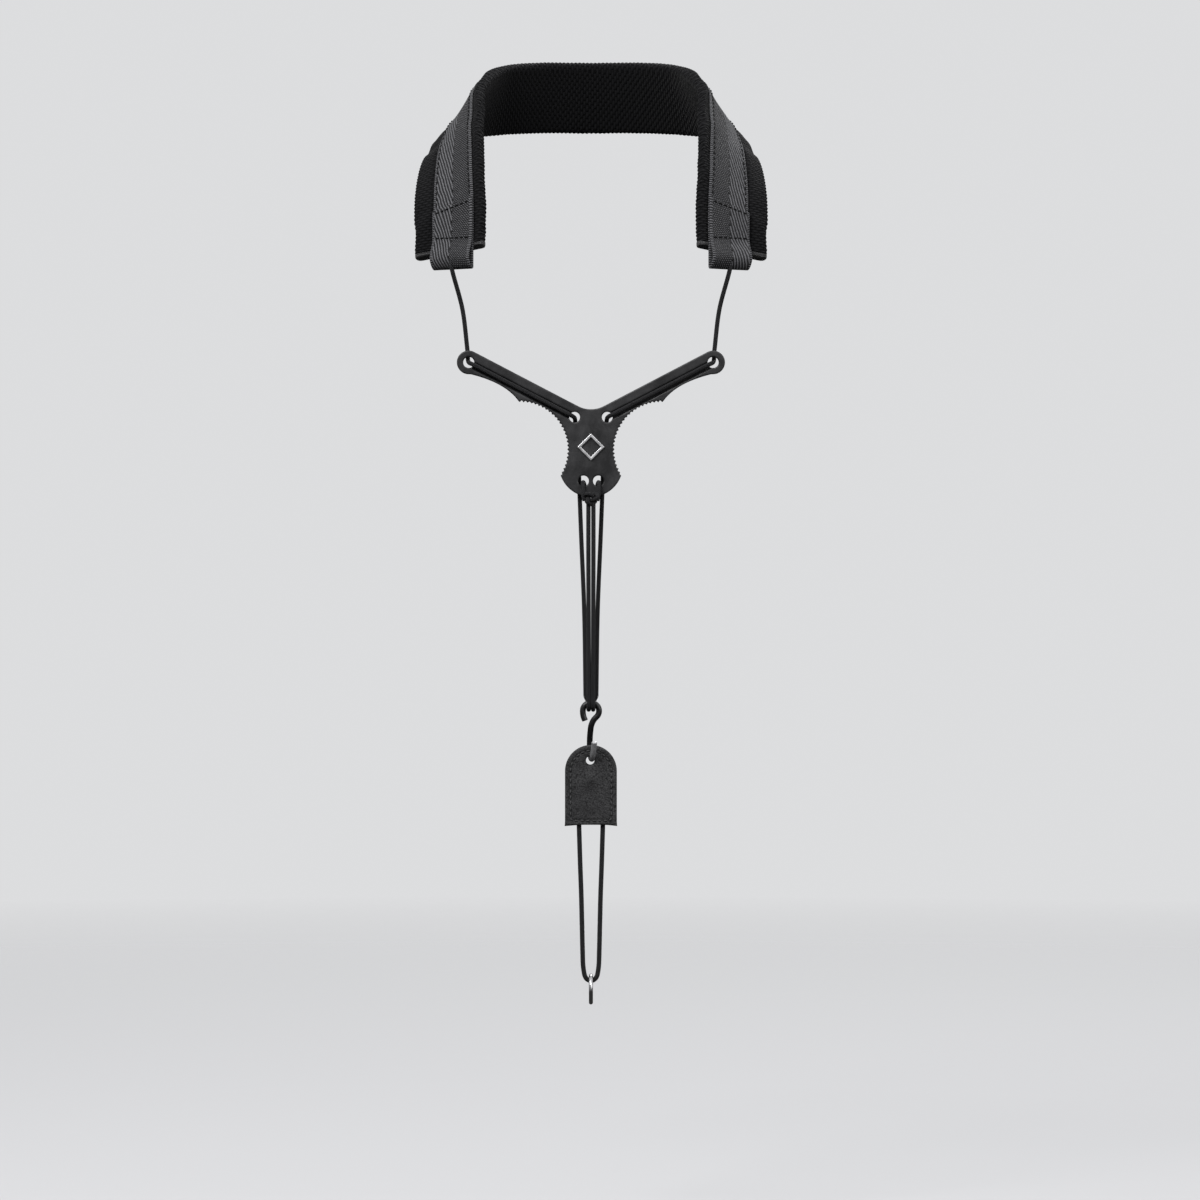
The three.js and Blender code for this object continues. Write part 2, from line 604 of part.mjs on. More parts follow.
const hook = groupAt(strap, 0, HANG_Y, HOOK_Z);
for (const [word, side] of SIDES) {
  const turn = (points) => (side < 0 ? mirrored(points) : points);
  addPiece(yoke, `outer_strand_${word}`, 'cord', tube(turn(OUTER_STRAND_ROUTE), CORD_DIAMETER, 12));
  addPiece(yoke, `inner_strand_${word}`, 'cord', tube(turn(INNER_STRAND_ROUTE), CORD_DIAMETER, 12));
  addPiece(hook, `cord_bight_${word}`, 'cord', tube(turn(BIGHT_ROUTE), CORD_DIAMETER, 14));
}
addPiece(hook, 'wire_hook', 'hook', tube(hookRoute(), WIRE_DIAMETER, 56));

// ---------------------------------------------------------------- leather tab

const tab = groupAt(hook, 0, 0, -HOOK_LENGTH);

// Round at the top, square at the bottom.
function tabShape() {
  const half = TAB_WIDTH / 2;
  const shape = new THREE.Shape();
  shape.moveTo(-half, TAB_BOTTOM);
  shape.lineTo(half, TAB_BOTTOM);
  shape.absarc(0, TAB_TOP - half, half, 0, Math.PI, false);
  shape.closePath();
  return shape;
}

function leatherLayer(back) {
  const shape = tabShape();
  roundHole(shape, 0, TAB_HOLE.z, TAB_HOLE.radius);
  return plate(shape, back, LEATHER_THICKNESS, 12);
}

// The filler between the two layers is an arch: its pocket is open at the bottom.
function tabFiller() {
  const half = TAB_WIDTH / 2;
  const shape = new THREE.Shape();
  shape.moveTo(half, TAB_BOTTOM);
  shape.absarc(0, TAB_TOP - half, half, 0, Math.PI, false);
  shape.lineTo(-half, TAB_BOTTOM);
  shape.lineTo(-POCKET.halfWidth, TAB_BOTTOM);
  shape.lineTo(-POCKET.halfWidth, POCKET.top - POCKET.corner);
  shape.lineTo(-POCKET.halfWidth + POCKET.corner, POCKET.top);
  shape.lineTo(POCKET.halfWidth - POCKET.corner, POCKET.top);
  shape.lineTo(POCKET.halfWidth, POCKET.top - POCKET.corner);
  shape.lineTo(POCKET.halfWidth, TAB_BOTTOM);
  shape.closePath();
  roundHole(shape, 0, TAB_HOLE.z, TAB_HOLE.radius);
  return plate(shape, FILLER_THICKNESS / 2, FILLER_THICKNESS, 12);
}

// The front run of the lockstitch, set in from the tab's edge.
function tabStitching() {
  const half = TAB_WIDTH / 2 - STITCH_INSET;
  const bottom = TAB_BOTTOM + STITCH_INSET;
  const y = -FILLER_THICKNESS / 2 - GAP - LEATHER_THICKNESS - GAP - THREAD_DIAMETER / 2;
  const arch = arcPoints(0, TAB_TOP - TAB_WIDTH / 2, half, 180, 0, 10).map(([x, z]) => [x, y, z]);
  const route = [
    [-half + 1.5, y, bottom],
    [-half, y, bottom + 2],
    [-half, y, (bottom + TAB_TOP - TAB_WIDTH / 2) / 2],
    ...arch,
    [half, y, (bottom + TAB_TOP - TAB_WIDTH / 2) / 2],
    [half, y, bottom + 2],
    [half - 1.5, y, bottom],
    [0, y, bottom],
    [-half + 3.5, y, bottom],
  ];
  return tube(route, THREAD_DIAMETER, 44, 4);
}

// The ends of the elastic loop run up inside the tab and are held by one knot.
const LOOP_END_ROUTE = [
  [3.6, 0, LOOP_KNOT.z - 1.4],
  [5.2, 0, -13.6],
  [6.2, 0, -19],
  [6.4, 0, -27],
  [6.4, 0, TAB_BOTTOM - 0.1],
];

addPiece(tab, 'tab_front', 'leather', leatherLayer(-FILLER_THICKNESS / 2 - GAP));
addPiece(tab, 'tab_back', 'leather', leatherLayer(FILLER_THICKNESS / 2 + GAP + LEATHER_THICKNESS));
addPiece(tab, 'tab_filler', 'leather', tabFiller());
addPiece(tab, 'tab_stitching', 'thread', tabStitching());
addPiece(tab, 'loop_knot', 'cord', ellipsoid(LOOP_KNOT.halfSize, 0, 0, LOOP_KNOT.z));
addPiece(tab, 'loop_end_left', 'cord', tube(mirrored(LOOP_END_ROUTE), LOOP_CORD_DIAMETER, 9));
addPiece(tab, 'loop_end_right', 'cord', tube(LOOP_END_ROUTE, LOOP_CORD_DIAMETER, 9));

// ---------------------------------------------------------------- elastic loop and ring

const loop = groupAt(tab, 0, 0, TAB_BOTTOM - LOOP_HINGE);
const LOOP_SIDE = [
  [6.4, 0, 0],
  [6.2, 0, -6],
  [5.8, 0, -19],
  [5.2, 0, -36],
  [4.8, 0, -53],
  [4.5, 0, -66],
  [4.1, 0, -75],
  [3.0, 0, 1.9 - LOOP_LENGTH],
  [1.4, 0, 0.3 - LOOP_LENGTH],
];
const LOOP_ROUTE = [...mirrored(LOOP_SIDE), [0, 0, -LOOP_LENGTH], ...[...LOOP_SIDE].reverse()];
addPiece(loop, 'loop_cord', 'cord', tube(LOOP_ROUTE, LOOP_CORD_DIAMETER, 54));

// The ring hangs edge-on, with the bottom of the loop passing through it.
const ring = groupAt(loop, 0, 0, -LOOP_LENGTH);

function endRing() {
  const geometry = new THREE.TorusGeometry(RING_RADIUS, RING_WIRE_RADIUS, 8, 28);
  geometry.rotateY(Math.PI / 2);
  geometry.translate(0, 0, LOOP_CORD_DIAMETER / 2 + GAP + RING_WIRE_RADIUS - RING_RADIUS);
  return geometry;
}

addPiece(ring, 'end_ring', 'ring', endRing());

export default strap;
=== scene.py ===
"""Looks of a woodwind neck strap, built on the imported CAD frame.

Everything is in metres and in the frame of the CAD model: +Z up, +X to the right seen from
the front, -Y forwards, and the origin on the nape. Lengths and routes repeat those of the
CAD source, apart from those whose comment says otherwise. Each sub-part has its own function,
and so has each material.
"""

import math

import bmesh
import bpy
import numpy as np
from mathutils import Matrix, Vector


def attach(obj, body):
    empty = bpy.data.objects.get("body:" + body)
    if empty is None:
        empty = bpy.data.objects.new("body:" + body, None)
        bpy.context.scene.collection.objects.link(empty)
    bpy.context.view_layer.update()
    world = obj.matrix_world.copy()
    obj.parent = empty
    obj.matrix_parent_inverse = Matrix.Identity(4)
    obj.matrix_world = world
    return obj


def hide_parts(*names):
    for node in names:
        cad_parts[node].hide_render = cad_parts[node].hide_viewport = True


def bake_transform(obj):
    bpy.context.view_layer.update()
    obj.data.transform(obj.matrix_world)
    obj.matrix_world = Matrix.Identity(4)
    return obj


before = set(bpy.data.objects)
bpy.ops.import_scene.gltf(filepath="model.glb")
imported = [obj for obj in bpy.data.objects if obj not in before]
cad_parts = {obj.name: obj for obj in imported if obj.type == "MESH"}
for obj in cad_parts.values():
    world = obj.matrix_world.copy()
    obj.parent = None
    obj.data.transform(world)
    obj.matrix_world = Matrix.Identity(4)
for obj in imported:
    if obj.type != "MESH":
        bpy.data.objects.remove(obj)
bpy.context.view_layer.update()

# ---------------------------------------------------------------- places

CORD = 0.0024  # diameter of the cord
ELASTIC = 0.0026  # and of the elastic loop below the tab
GAP = 0.0003
OVERLAP = 0.0002  # how far one stretch of cord runs into the next, so that no joint shows

HANG_Y = -0.112  # plane in which the yoke, the hook and the tab hang
YOKE_AT = np.array([0, HANG_Y, -0.179])
HOOK_AT = np.array([0, HANG_Y, -0.3375])
HOOK_LENGTH = 0.0304  # from the hook's hinge down to the bottom of its bend
TAB_AT = HOOK_AT - [0, 0, HOOK_LENGTH]
LOOP_AT = TAB_AT - [0, 0, 0.0377]
RING_AT = LOOP_AT - [0, 0, 0.0819]
SIDES = {"left": -1, "right": 1}


# ---------------------------------------------------------------- curves


def mirrored(points):
    return np.array(points, float) * [-1, 1, 1]


def on_side(points, side):
    return mirrored(points) if side < 0 else np.array(points, float)


def with_ghosts(points):
    """The points with one more at each end, as far out as its neighbour is in."""
    points = np.array(points, float)
    return np.vstack([2 * points[0] - points[1], points, 2 * points[-1] - points[-2]])


def distances(points):
    """How far along a polyline each of its points lies."""
    return np.concatenate([[0], np.cumsum(np.linalg.norm(np.diff(points, axis=0), axis=1))])


def between(at, along, table):
    """Vectors for the places at, from a table that has one for each place along."""
    return np.stack([np.interp(at, along, table[:, k]) for k in range(3)], axis=-1)


def resampled(points, spacing):
    """Points at equal distances along a polyline."""
    along = distances(points)
    count = max(3, int(round(along[-1] / spacing)) + 1)
    return between(np.linspace(0, along[-1], count), along, points)


def straight(p, q, start, end, t):
    """From p where t is start to q where it is end."""
    return (p * (end - t) + q * (t - start)) / (end - start)


def smooth_path(points, spacing=0.0008):
    """The centripetal Catmull-Rom curve through the points, evenly spaced."""
    padded = with_ghosts(points)
    fine = []
    for a, b, c, d in zip(padded, padded[1:], padded[2:], padded[3:]):
        chords = [math.sqrt(np.linalg.norm(q - p)) for p, q in ((a, b), (b, c), (c, d))]
        k0, k1, k2, k3 = np.cumsum([0] + chords)
        t = np.linspace(k1, k2, 24, endpoint=False)[:, None]
        ab = straight(a, b, k0, k1, t)
        bc = straight(b, c, k1, k2, t)
        cd = straight(c, d, k2, k3, t)
        abc = straight(ab, bc, k0, k2, t)
        bcd = straight(bc, cd, k1, k3, t)
        fine.append(straight(abc, bcd, k1, k2, t))
    fine.append(np.array([points[-1]], float))
    return resampled(np.vstack(fine), spacing)


def path_length(path):
    return float(np.linalg.norm(np.diff(path, axis=0), axis=1).sum())


def arc(radius, from_deg, to_deg, steps):
    """Points (a, b) on a circle about the origin, both ends included."""
    angles = np.radians(np.linspace(from_deg, to_deg, steps + 1))
    return np.stack([np.cos(angles), np.sin(angles)], axis=1) * radius


def circle(radius, sides):
    """Points (a, b) all round a circle about the origin, each of them once."""
    return arc(radius, 0, 360 - 360 / sides, sides - 1)


def smoothstep(t):
    return t * t * (3 - 2 * t)


def unit(vectors):
    return vectors / np.linalg.norm(vectors, axis=-1, keepdims=True)


# ---------------------------------------------------------------- meshes


def new_piece(name, vertices, faces, uv=None, smooth=True):
    """A mesh object; uv holds one (u, v) for each corner of each face."""
    mesh = bpy.data.meshes.new(name)
    mesh.from_pydata([tuple(v) for v in vertices], [], [tuple(f) for f in faces])
    if uv is not None:
        layer = mesh.uv_layers.new(name="UVMap")
        layer.data.foreach_set("uv", np.array(uv, np.float32).ravel())
    mesh.polygons.foreach_set("use_smooth", [smooth] * len(mesh.polygons))
    turn_outwards(mesh)
    piece = bpy.data.objects.new(name, mesh)
    bpy.context.scene.collection.objects.link(piece)
    return piece


def turn_outwards(mesh):
    shape = bmesh.new()
    shape.from_mesh(mesh)
    bmesh.ops.recalc_face_normals(shape, faces=shape.faces)
    shape.to_mesh(mesh)
    shape.free()


def lofted(rows, u, v, capped=True):
    """Vertices, faces and corner UVs of a skin over closed rings of points. u has one value
    for each column and one more where the ring closes, and v has one for each row."""
    rows = np.asarray(rows)
    row_count, columns = rows.shape[:2]
    r, c = np.divmod(np.arange((row_count - 1) * columns), columns)
    n = (c + 1) % columns
    this, following = r * columns, (r + 1) * columns
    faces = np.stack([this + c, this + n, following + n, following + c], axis=1)
    u, v = np.asarray(u), np.asarray(v)
    corner_u = np.stack([u[c], u[c + 1], u[c + 1], u[c]], axis=1)
    corner_v = np.stack([v[r], v[r], v[r + 1], v[r + 1]], axis=1)
    uv = np.stack([corner_u, corner_v], axis=2).reshape(-1, 2)
    faces = faces.tolist()
    if capped:
        last = (row_count - 1) * columns
        faces += [list(range(columns))[::-1], list(range(last, last + columns))]
        caps = [[u[k], v[0]] for k in range(columns)][::-1] + [[u[k], v[-1]] for k in range(columns)]
        uv = np.vstack([uv, caps])
    return rows.reshape(-1, 3), faces, uv


def tube_rows(path, radius, sides):
    """Rings of points round a path; radius is one number or one for each point."""
    tangents = unit(np.gradient(path, axis=0))
    normal = np.cross(tangents[0], [0.3, 1, 0.2])
    radii = np.broadcast_to(radius, len(path))
    angles = np.linspace(0, 2 * math.pi, sides, endpoint=False)
    rings = []
    for point, tangent, r in zip(path, tangents, radii):
        normal = unit(normal - tangent * (normal @ tangent))
        side = np.cross(tangent, normal)
        rings.append(point + r * (np.outer(np.cos(angles), normal) + np.outer(np.sin(angles), side)))
    return np.array(rings)


def tube(path, radius, sides=16):
    """A round bar; its UV is metres round the bar and metres along it."""
    round_length = 2 * math.pi * float(np.max(radius))
    round_at = np.linspace(0, round_length, sides + 1)
    return lofted(tube_rows(path, radius, sides), round_at, distances(path))


def closed_tube(path, radius, sides, round_length, length):
    """A bar whose path ends where it starts. Its UV covers round_length by length."""
    rows = tube_rows(path, radius, sides)[:-1]
    round_at = np.linspace(0, round_length, sides + 1)
    vertices, faces, uv = lofted(rows, round_at, np.linspace(0, length, len(rows)), capped=False)
    last = len(vertices) - sides
    faces += [[last + i, last + (i + 1) % sides, (i + 1) % sides, i] for i in range(sides)]
    return vertices, faces, np.vstack([uv, uv[-4 * sides :]])


def round_ended(path, radius):
    """One radius for each point of the path, so that both its ends are round."""
    along = distances(path)
    inside = np.clip(np.minimum(along, along[-1] - along), 0, radius) / radius
    return radius * np.sqrt(np.clip(1 - (1 - inside) ** 2, 0.002, 1))


def joined(parts):
    """Several (vertices, faces, uv) as one."""
    vertices, faces, uv, count = [], [], [], 0
    for part_vertices, part_faces, part_uv in parts:
        vertices.append(part_vertices)
        faces += [[i + count for i in face] for face in part_faces]
        uv.append(part_uv)
        count += len(part_vertices)
    return np.vstack(vertices), faces, np.vstack(uv)


def stitches(path, normals, length, pitch, radius):
    """A row of stitches along a path: short bars whose ends dip into the cloth."""
    along = distances(path)
    count = int((along[-1] - length) / pitch) + 1
    first = (along[-1] - (count - 1) * pitch - length) / 2
    bars = []
    for i in range(count):
        at = first + i * pitch + np.linspace(0, length, 7)
        centre = between(at, along, path)
        outward = unit(between(at, along, normals))
        rise = np.sin(np.linspace(0, math.pi, 7))[:, None] * radius * 1.1
        bars.append(tube(centre + outward * (rise - 0.2 * radius), round_ended(centre, radius), 8))
    return joined(bars)


def finished(piece, material, body=None, replaces=()):
    piece.data.materials.clear()
    piece.data.materials.append(material)
    if replaces:
        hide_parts(*replaces)
    if body:
        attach(piece, body)
    return piece


def applied(piece):
    """The piece with its modifiers worked into its mesh."""
    evaluated = piece.evaluated_get(bpy.context.evaluated_depsgraph_get())
    mesh = bpy.data.meshes.new_from_object(evaluated)
    piece.modifiers.clear()
    piece.data = mesh
    return piece


# ---------------------------------------------------------------- materials


class Nodes:
    """Short names for the nodes of one material."""

    def __init__(self, name, roughness, **sockets):
        self.material = bpy.data.materials.new(name)
        self.material.use_nodes = True
        self.tree = self.material.node_tree
        self.shader = self.tree.nodes["Principled BSDF"]
        self.shader.inputs["Roughness"].default_value = roughness
        for socket, value in sockets.items():
            self.shader.inputs[socket.replace("_", " ")].default_value = value

    def node(self, kind, inputs=None, **settings):
        """A node whose inputs are sockets to link, numbers, or colours of three numbers."""
        made = self.tree.nodes.new(kind)
        for key, value in settings.items():
            setattr(made, key, value)
        for key, value in (inputs or {}).items():
            if isinstance(value, bpy.types.NodeSocket):
                self.tree.links.new(value, made.inputs[key])
            else:
                made.inputs[key].default_value = (*value, 1) if isinstance(value, tuple) else value
        return made

    def math(self, operation, a, b=0.0, c=0.0):
        return self.node("ShaderNodeMath", {0: a, 1: b, 2: c}, operation=operation).outputs[0]

    def times(self, a, b):
        return self.math("MULTIPLY", a, b)

    def times_plus(self, a, factor, added):
        return self.math("MULTIPLY_ADD", a, factor, added)

    def power(self, a, exponent):
        return self.math("POWER", a, exponent)

    def uv(self):
        """U and V in metres."""
        split = self.node("ShaderNodeSeparateXYZ", {0: self.node("ShaderNodeTexCoord").outputs["UV"]})
        return split.outputs[0], split.outputs[1]

    def place(self):
        return self.node("ShaderNodeTexCoord").outputs["Object"]

    def noise(self, scale, detail=3.0, roughness=0.5, vector=None):
        inputs = {"Scale": scale, "Detail": detail, "Roughness": roughness}
        inputs["Vector"] = self.place() if vector is None else vector
        return self.node("ShaderNodeTexNoise", inputs).outputs[0]

    def wave(self, value, period):
        """From 0 to 1 and back once in each period of value."""
        turns = self.times(value, 2 * math.pi / period)
        return self.times_plus(self.math("SINE", turns), 0.5, 0.5)

    def ramp(self, value, *stops):
        """Colours or greys at places from 0 to 1."""
        made = self.node("ShaderNodeValToRGB", {0: value})
        elements = made.color_ramp.elements
        while len(elements) < len(stops):
            elements.new(1.0)
        for element, (place, colour) in zip(elements, stops):
            element.position = place
            element.color = (*colour, 1) if isinstance(colour, tuple) else (colour, colour, colour, 1)
        return made.outputs[0]

    def mix(self, share, a, b, how="MIX"):
        """Colour a where share is 0 and colour b, or a blended with b, where it is 1."""
        inputs = {0: share, 6: a, 7: b}
        return self.node("ShaderNodeMix", inputs, data_type="RGBA", blend_type=how).outputs[2]

    def set(self, socket, value):
        self.tree.links.new(value, self.shader.inputs[socket])

    def bump(self, height, distance, strength=1.0):
        made = self.node("ShaderNodeBump", {"Height": height, "Distance": distance, "Strength": strength})
        self.set("Normal", made.outputs[0])


def knit_material():
    """Black rib knit: short raised bars across the pad, in offset rows."""
    m = Nodes("rib_knit", 0.95, Specular_IOR_Level=0.12, Sheen_Weight=0.06, Sheen_Roughness=0.4)
    u, v = m.uv()
    row = m.math("FLOOR", m.math("DIVIDE", v, RIB_PITCH))
    shifted = m.times_plus(row, 0.0019, u)
    rib = m.power(m.math("ABSOLUTE", m.math("SINE", m.times(v, math.pi / RIB_PITCH))), 0.6)
    bar = m.power(m.wave(shifted, 0.0041), 0.35)
    height = m.times(rib, bar)
    fuzz = m.noise(2600, 4, 0.7)
    lint = m.math("GREATER_THAN", m.noise(1500, 2, 0.5), 0.72)
    yarn = m.times(height, m.times_plus(fuzz, 1.2, -0.1))
    black = m.mix(yarn, (0.0022, 0.0022, 0.0025), (0.021, 0.021, 0.023))
    m.set("Base Color", m.mix(m.times(lint, 0.4), black, (0.035, 0.035, 0.037)))
    m.bump(m.times_plus(fuzz, 0.35, height), 0.0006, 1.0)
    return m.material


def binding_material():
    """Satin binding tape of the hems: close cross ribs, with a soft sheen painted onto them as lighter
    colour.
    """
    m = Nodes("hem_binding", 0.42, Specular_IOR_Level=0.5, Sheen_Weight=0.1)
    u, v = m.uv()
    ribs = m.wave(u, 0.0008)
    painted_gleam = m.times(ribs, m.noise(900, 4, 0.6))
    # Painted highlight: the colour is lighter on the ribs, as a painted sheen.
    m.set("Base Color", m.mix(painted_gleam, (0.004, 0.004, 0.0045), (0.035, 0.034, 0.035)))
    m.bump(m.times_plus(m.wave(v, 0.0012), 0.4, ribs), 0.00025, 0.8)
    return m.material


def webbing_material():
    """Herringbone webbing: slanted ribs, bold on one half and fine on the other, with a
    corded selvedge along both edges and needle holes down the middle."""
    m = Nodes("herringbone_webbing", 0.7, Specular_IOR_Level=0.2, Sheen_Weight=0.1, Sheen_Roughness=0.4)
    u, v = m.uv()
    across = m.math("ABSOLUTE", u)
    wander = m.times(m.noise(160, 2), 0.0011)
    slant = m.math("ADD", m.times_plus(v, -0.3, across), wander)
    bold = m.power(m.wave(slant, 0.0017), 0.8)
    filaments = m.wave(m.times_plus(v, 0.55, across), 0.00042)
    fine_slant = m.math("ADD", m.times_plus(v, 0.9, across), wander)
    fine = m.times(m.wave(fine_slant, 0.0013), m.times_plus(m.wave(v, 0.001), 0.75, 0.35))
    bold_half = m.math("GREATER_THAN", u, 0.0)
    body = m.mix(bold_half, fine, bold)
    selvedge = m.math("GREATER_THAN", across, WEBBING_WIDTH / 2 - 0.0015)
    ladder = m.power(m.wave(v, 0.0012), 0.8)
    height = m.mix(selvedge, body, ladder)
    spine = m.math("LESS_THAN", across, 0.0004)
    holes = m.times(spine, m.math("GREATER_THAN", m.wave(v, 0.0055), 0.86))
    worn = m.noise(1100, 5, 0.7)
    light = m.times(m.times_plus(filaments, 0.25, height), m.times_plus(worn, 1.2, 0.2))
    dark, middling, bright = (0.006, 0.006, 0.0065), (0.042, 0.042, 0.045), (0.19, 0.191, 0.2)
    threads = m.ramp(light, (0.08, dark), (0.5, middling), (0.95, bright))
    slow = m.ramp(m.noise(45, 3), (0.3, (0.82, 0.82, 0.83)), (0.7, (1.0, 1.0, 1.0)))
    shaded = m.mix(1.0, threads, slow, "MULTIPLY")
    m.set("Base Color", m.mix(holes, shaded, (0.004, 0.004, 0.0045)))
    m.bump(m.math("SUBTRACT", height, holes), 0.0005, 0.9)
    return m.material


def braid_material():
    """Black braided cord: two families of yarns that cross over each other."""
    m = Nodes("braided_cord", 0.62, Specular_IOR_Level=0.3, Sheen_Weight=0.06, Sheen_Roughness=0.4)
    u, v = m.uv()
    round_length = math.pi * CORD
    one = m.wave(m.times_plus(v, 0.8, u), round_length / 8)
    other = m.wave(m.times_plus(v, -0.8, u), round_length / 8)
    height = m.math("MAXIMUM", m.power(one, 2.0), m.power(other, 2.0))
    fuzz = m.noise(1800, 3, 0.6)
    light = m.times(height, m.times_plus(fuzz, 1.4, -0.1))
    m.set("Base Color", m.ramp(light, (0.0, (0.0025, 0.0025, 0.003)), (0.85, (0.03, 0.03, 0.033))))
    m.bump(height, 0.0003, 0.9)
    return m.material


def thread_material(name, dark, light):
    m = Nodes(name, 0.7, Specular_IOR_Level=0.2)
    u, v = m.uv()
    twist = m.wave(m.times_plus(u, 0.5, v), 0.0005)
    m.set("Base Color", m.mix(twist, dark, light))
    m.bump(twist, 0.0001, 0.7)
    return m.material


def plastic_material():
    """Moulded plastic: a fine spark texture, faint flow marks and rubbed high spots. The broad light and
    dark patches of the colour are also painted shade, standing in for the plate's soft shading.
    """
    m = Nodes("moulded_plastic", 0.42, Specular_IOR_Level=0.5)
    grain = m.noise(3600, 3, 0.6)
    flow_and_painted_shade = m.noise(70, 4, 0.55)
    rubbed = m.power(m.noise(300, 5, 0.7), 3.0)
    shade = m.times_plus(rubbed, 0.6, m.times(flow_and_painted_shade, 0.7))
    # Painted shade: the broad lighter and darker patches in the colour stand in for the plate's soft
    # shading.
    m.set("Base Color", m.ramp(shade, (0.3, (0.01, 0.01, 0.011)), (0.62, (0.055, 0.055, 0.057))))
    m.set("Roughness", m.ramp(m.times_plus(flow_and_painted_shade, 0.5, rubbed), (0.2, 0.5), (0.7, 0.33)))
    m.bump(grain, 0.00008, 0.5)
    return m.material


def leather_material(name, dark, light, grain_scale=1400.0):
    """Grained leather: pebbles between fine creases, over a slow change of tone."""
    m = Nodes(name, 0.65, Specular_IOR_Level=0.25)
    warp = m.node("ShaderNodeTexNoise", {"Vector": m.place(), "Scale": 300.0, "Detail": 2.0})
    moved = {0: 0.0012, 1: m.place(), 2: warp.outputs[1]}
    bent = m.node("ShaderNodeMixRGB", moved, blend_type="ADD").outputs[0]
    cells = m.node(
        "ShaderNodeTexVoronoi",
        {"Vector": bent, "Scale": grain_scale, "Randomness": 1.0},
        feature="SMOOTH_F1",
    ).outputs["Distance"]
    pebble = m.ramp(cells, (0.1, 1.0), (0.75, 0.0))
    tone = m.noise(120, 4, 0.6)
    m.set("Base Color", m.mix(m.times(pebble, tone), dark, light))
    m.set("Roughness", m.ramp(m.times(pebble, tone), (0.1, 0.72), (0.7, 0.5)))
    m.bump(pebble, 0.00018, 0.8)
    return m.material


def coated_wire_material():
    """Glossy black dip coating, a little uneven."""
    m = Nodes("black_coating", 0.3, Specular_IOR_Level=0.55)
    lumps = m.noise(420, 3, 0.5)
    m.set("Base Color", m.ramp(m.noise(160, 3), (0.3, (0.006, 0.006, 0.006)), (0.8, (0.016, 0.016, 0.017))))
    m.set("Roughness", m.ramp(m.noise(900, 4, 0.7), (0.3, 0.24), (0.8, 0.42)))
    m.bump(lumps, 0.0003, 0.5)
    return m.material


def metal_material(name, colour, roughness, streak_scale):
    """Plated or bare metal with fine marks in its polish."""
    m = Nodes(name, roughness, Metallic=1.0)
    marks = m.noise(streak_scale, 5, 0.7)
    dull = tuple(0.72 * c for c in colour)
    m.set("Base Color", m.mix(m.noise(500, 3), colour, dull))
    m.set("Roughness", m.ramp(marks, (0.3, roughness * 0.6), (0.75, roughness * 1.7)))
    m.bump(marks, 0.00004, 0.5)
    return m.material


RIB_PITCH = 0.0015  # pitch of the knit's ribs
WEBBING_WIDTH = 0.024

KNIT = knit_material()
BINDING = binding_material()
WEBBING = webbing_material()
BRAID = braid_material()
SEAM_THREAD = thread_material("seam_thread", (0.002, 0.002, 0.002), (0.008, 0.008, 0.009))
TAB_THREAD = thread_material("tab_thread", (0.03, 0.03, 0.03), (0.12, 0.12, 0.123))
PLASTIC = plastic_material()
LEATHER = leather_material("grained_leather", (0.011, 0.011, 0.0115), (0.125, 0.125, 0.128))
LEATHER_EDGE = leather_material("painted_edge", (0.003, 0.003, 0.003), (0.01, 0.01, 0.011), 2400.0)
COATING = coated_wire_material()
BARE_STEEL = metal_material("bare_steel", (0.6, 0.6, 0.61), 0.56, 1600)
PLATED_STEEL = metal_material("plated_steel", (0.72, 0.72, 0.73), 0.16, 900)
FOIL = metal_material("bright_foil", (0.93, 0.93, 0.94), 0.4, 300)


# ---------------------------------------------------------------- camera

CAMERA_DISTANCE = 2.6
CAMERA_AT = (0.0049, HANG_Y - CAMERA_DISTANCE, -0.282)
FIELD_WIDTH = 0.648  # what the picture takes in, in the plane of the yoke


def make_camera():
    data = bpy.data.cameras.new("camera")
    data.sensor_width = 36
    data.lens = data.sensor_width * CAMERA_DISTANCE / FIELD_WIDTH
    camera = bpy.data.objects.new("camera", data)
    camera.location = CAMERA_AT
    camera.rotation_euler = (math.radians(90), 0, 0)
    bpy.context.scene.collection.objects.link(camera)
    bpy.context.scene.camera = camera


# ---------------------------------------------------------------- the band's course

# Centre line of the band's inner face from the left end to the nape, and the direction
# from its upper edge to its lower edge there.
LEFT_ROUTE = [
    ((-0.0749, -0.102, -0.095), (-0.9, 0.42, -0.16)),
    ((-0.0753, -0.0948, -0.073), (-0.9, 0.34, -0.26)),
    ((-0.0748, -0.084, -0.052), (-0.83, 0.32, -0.44)),
    ((-0.0722, -0.0675, -0.0315), (-0.7, 0.22, -0.67)),
    ((-0.0656, -0.0455, -0.0145), (-0.55, 0.14, -0.83)),
    ((-0.046, -0.0155, -0.0032), (-0.31, 0.26, -0.91)),
    ((0, 0, 0), (0, 0.32, -0.95)),
]


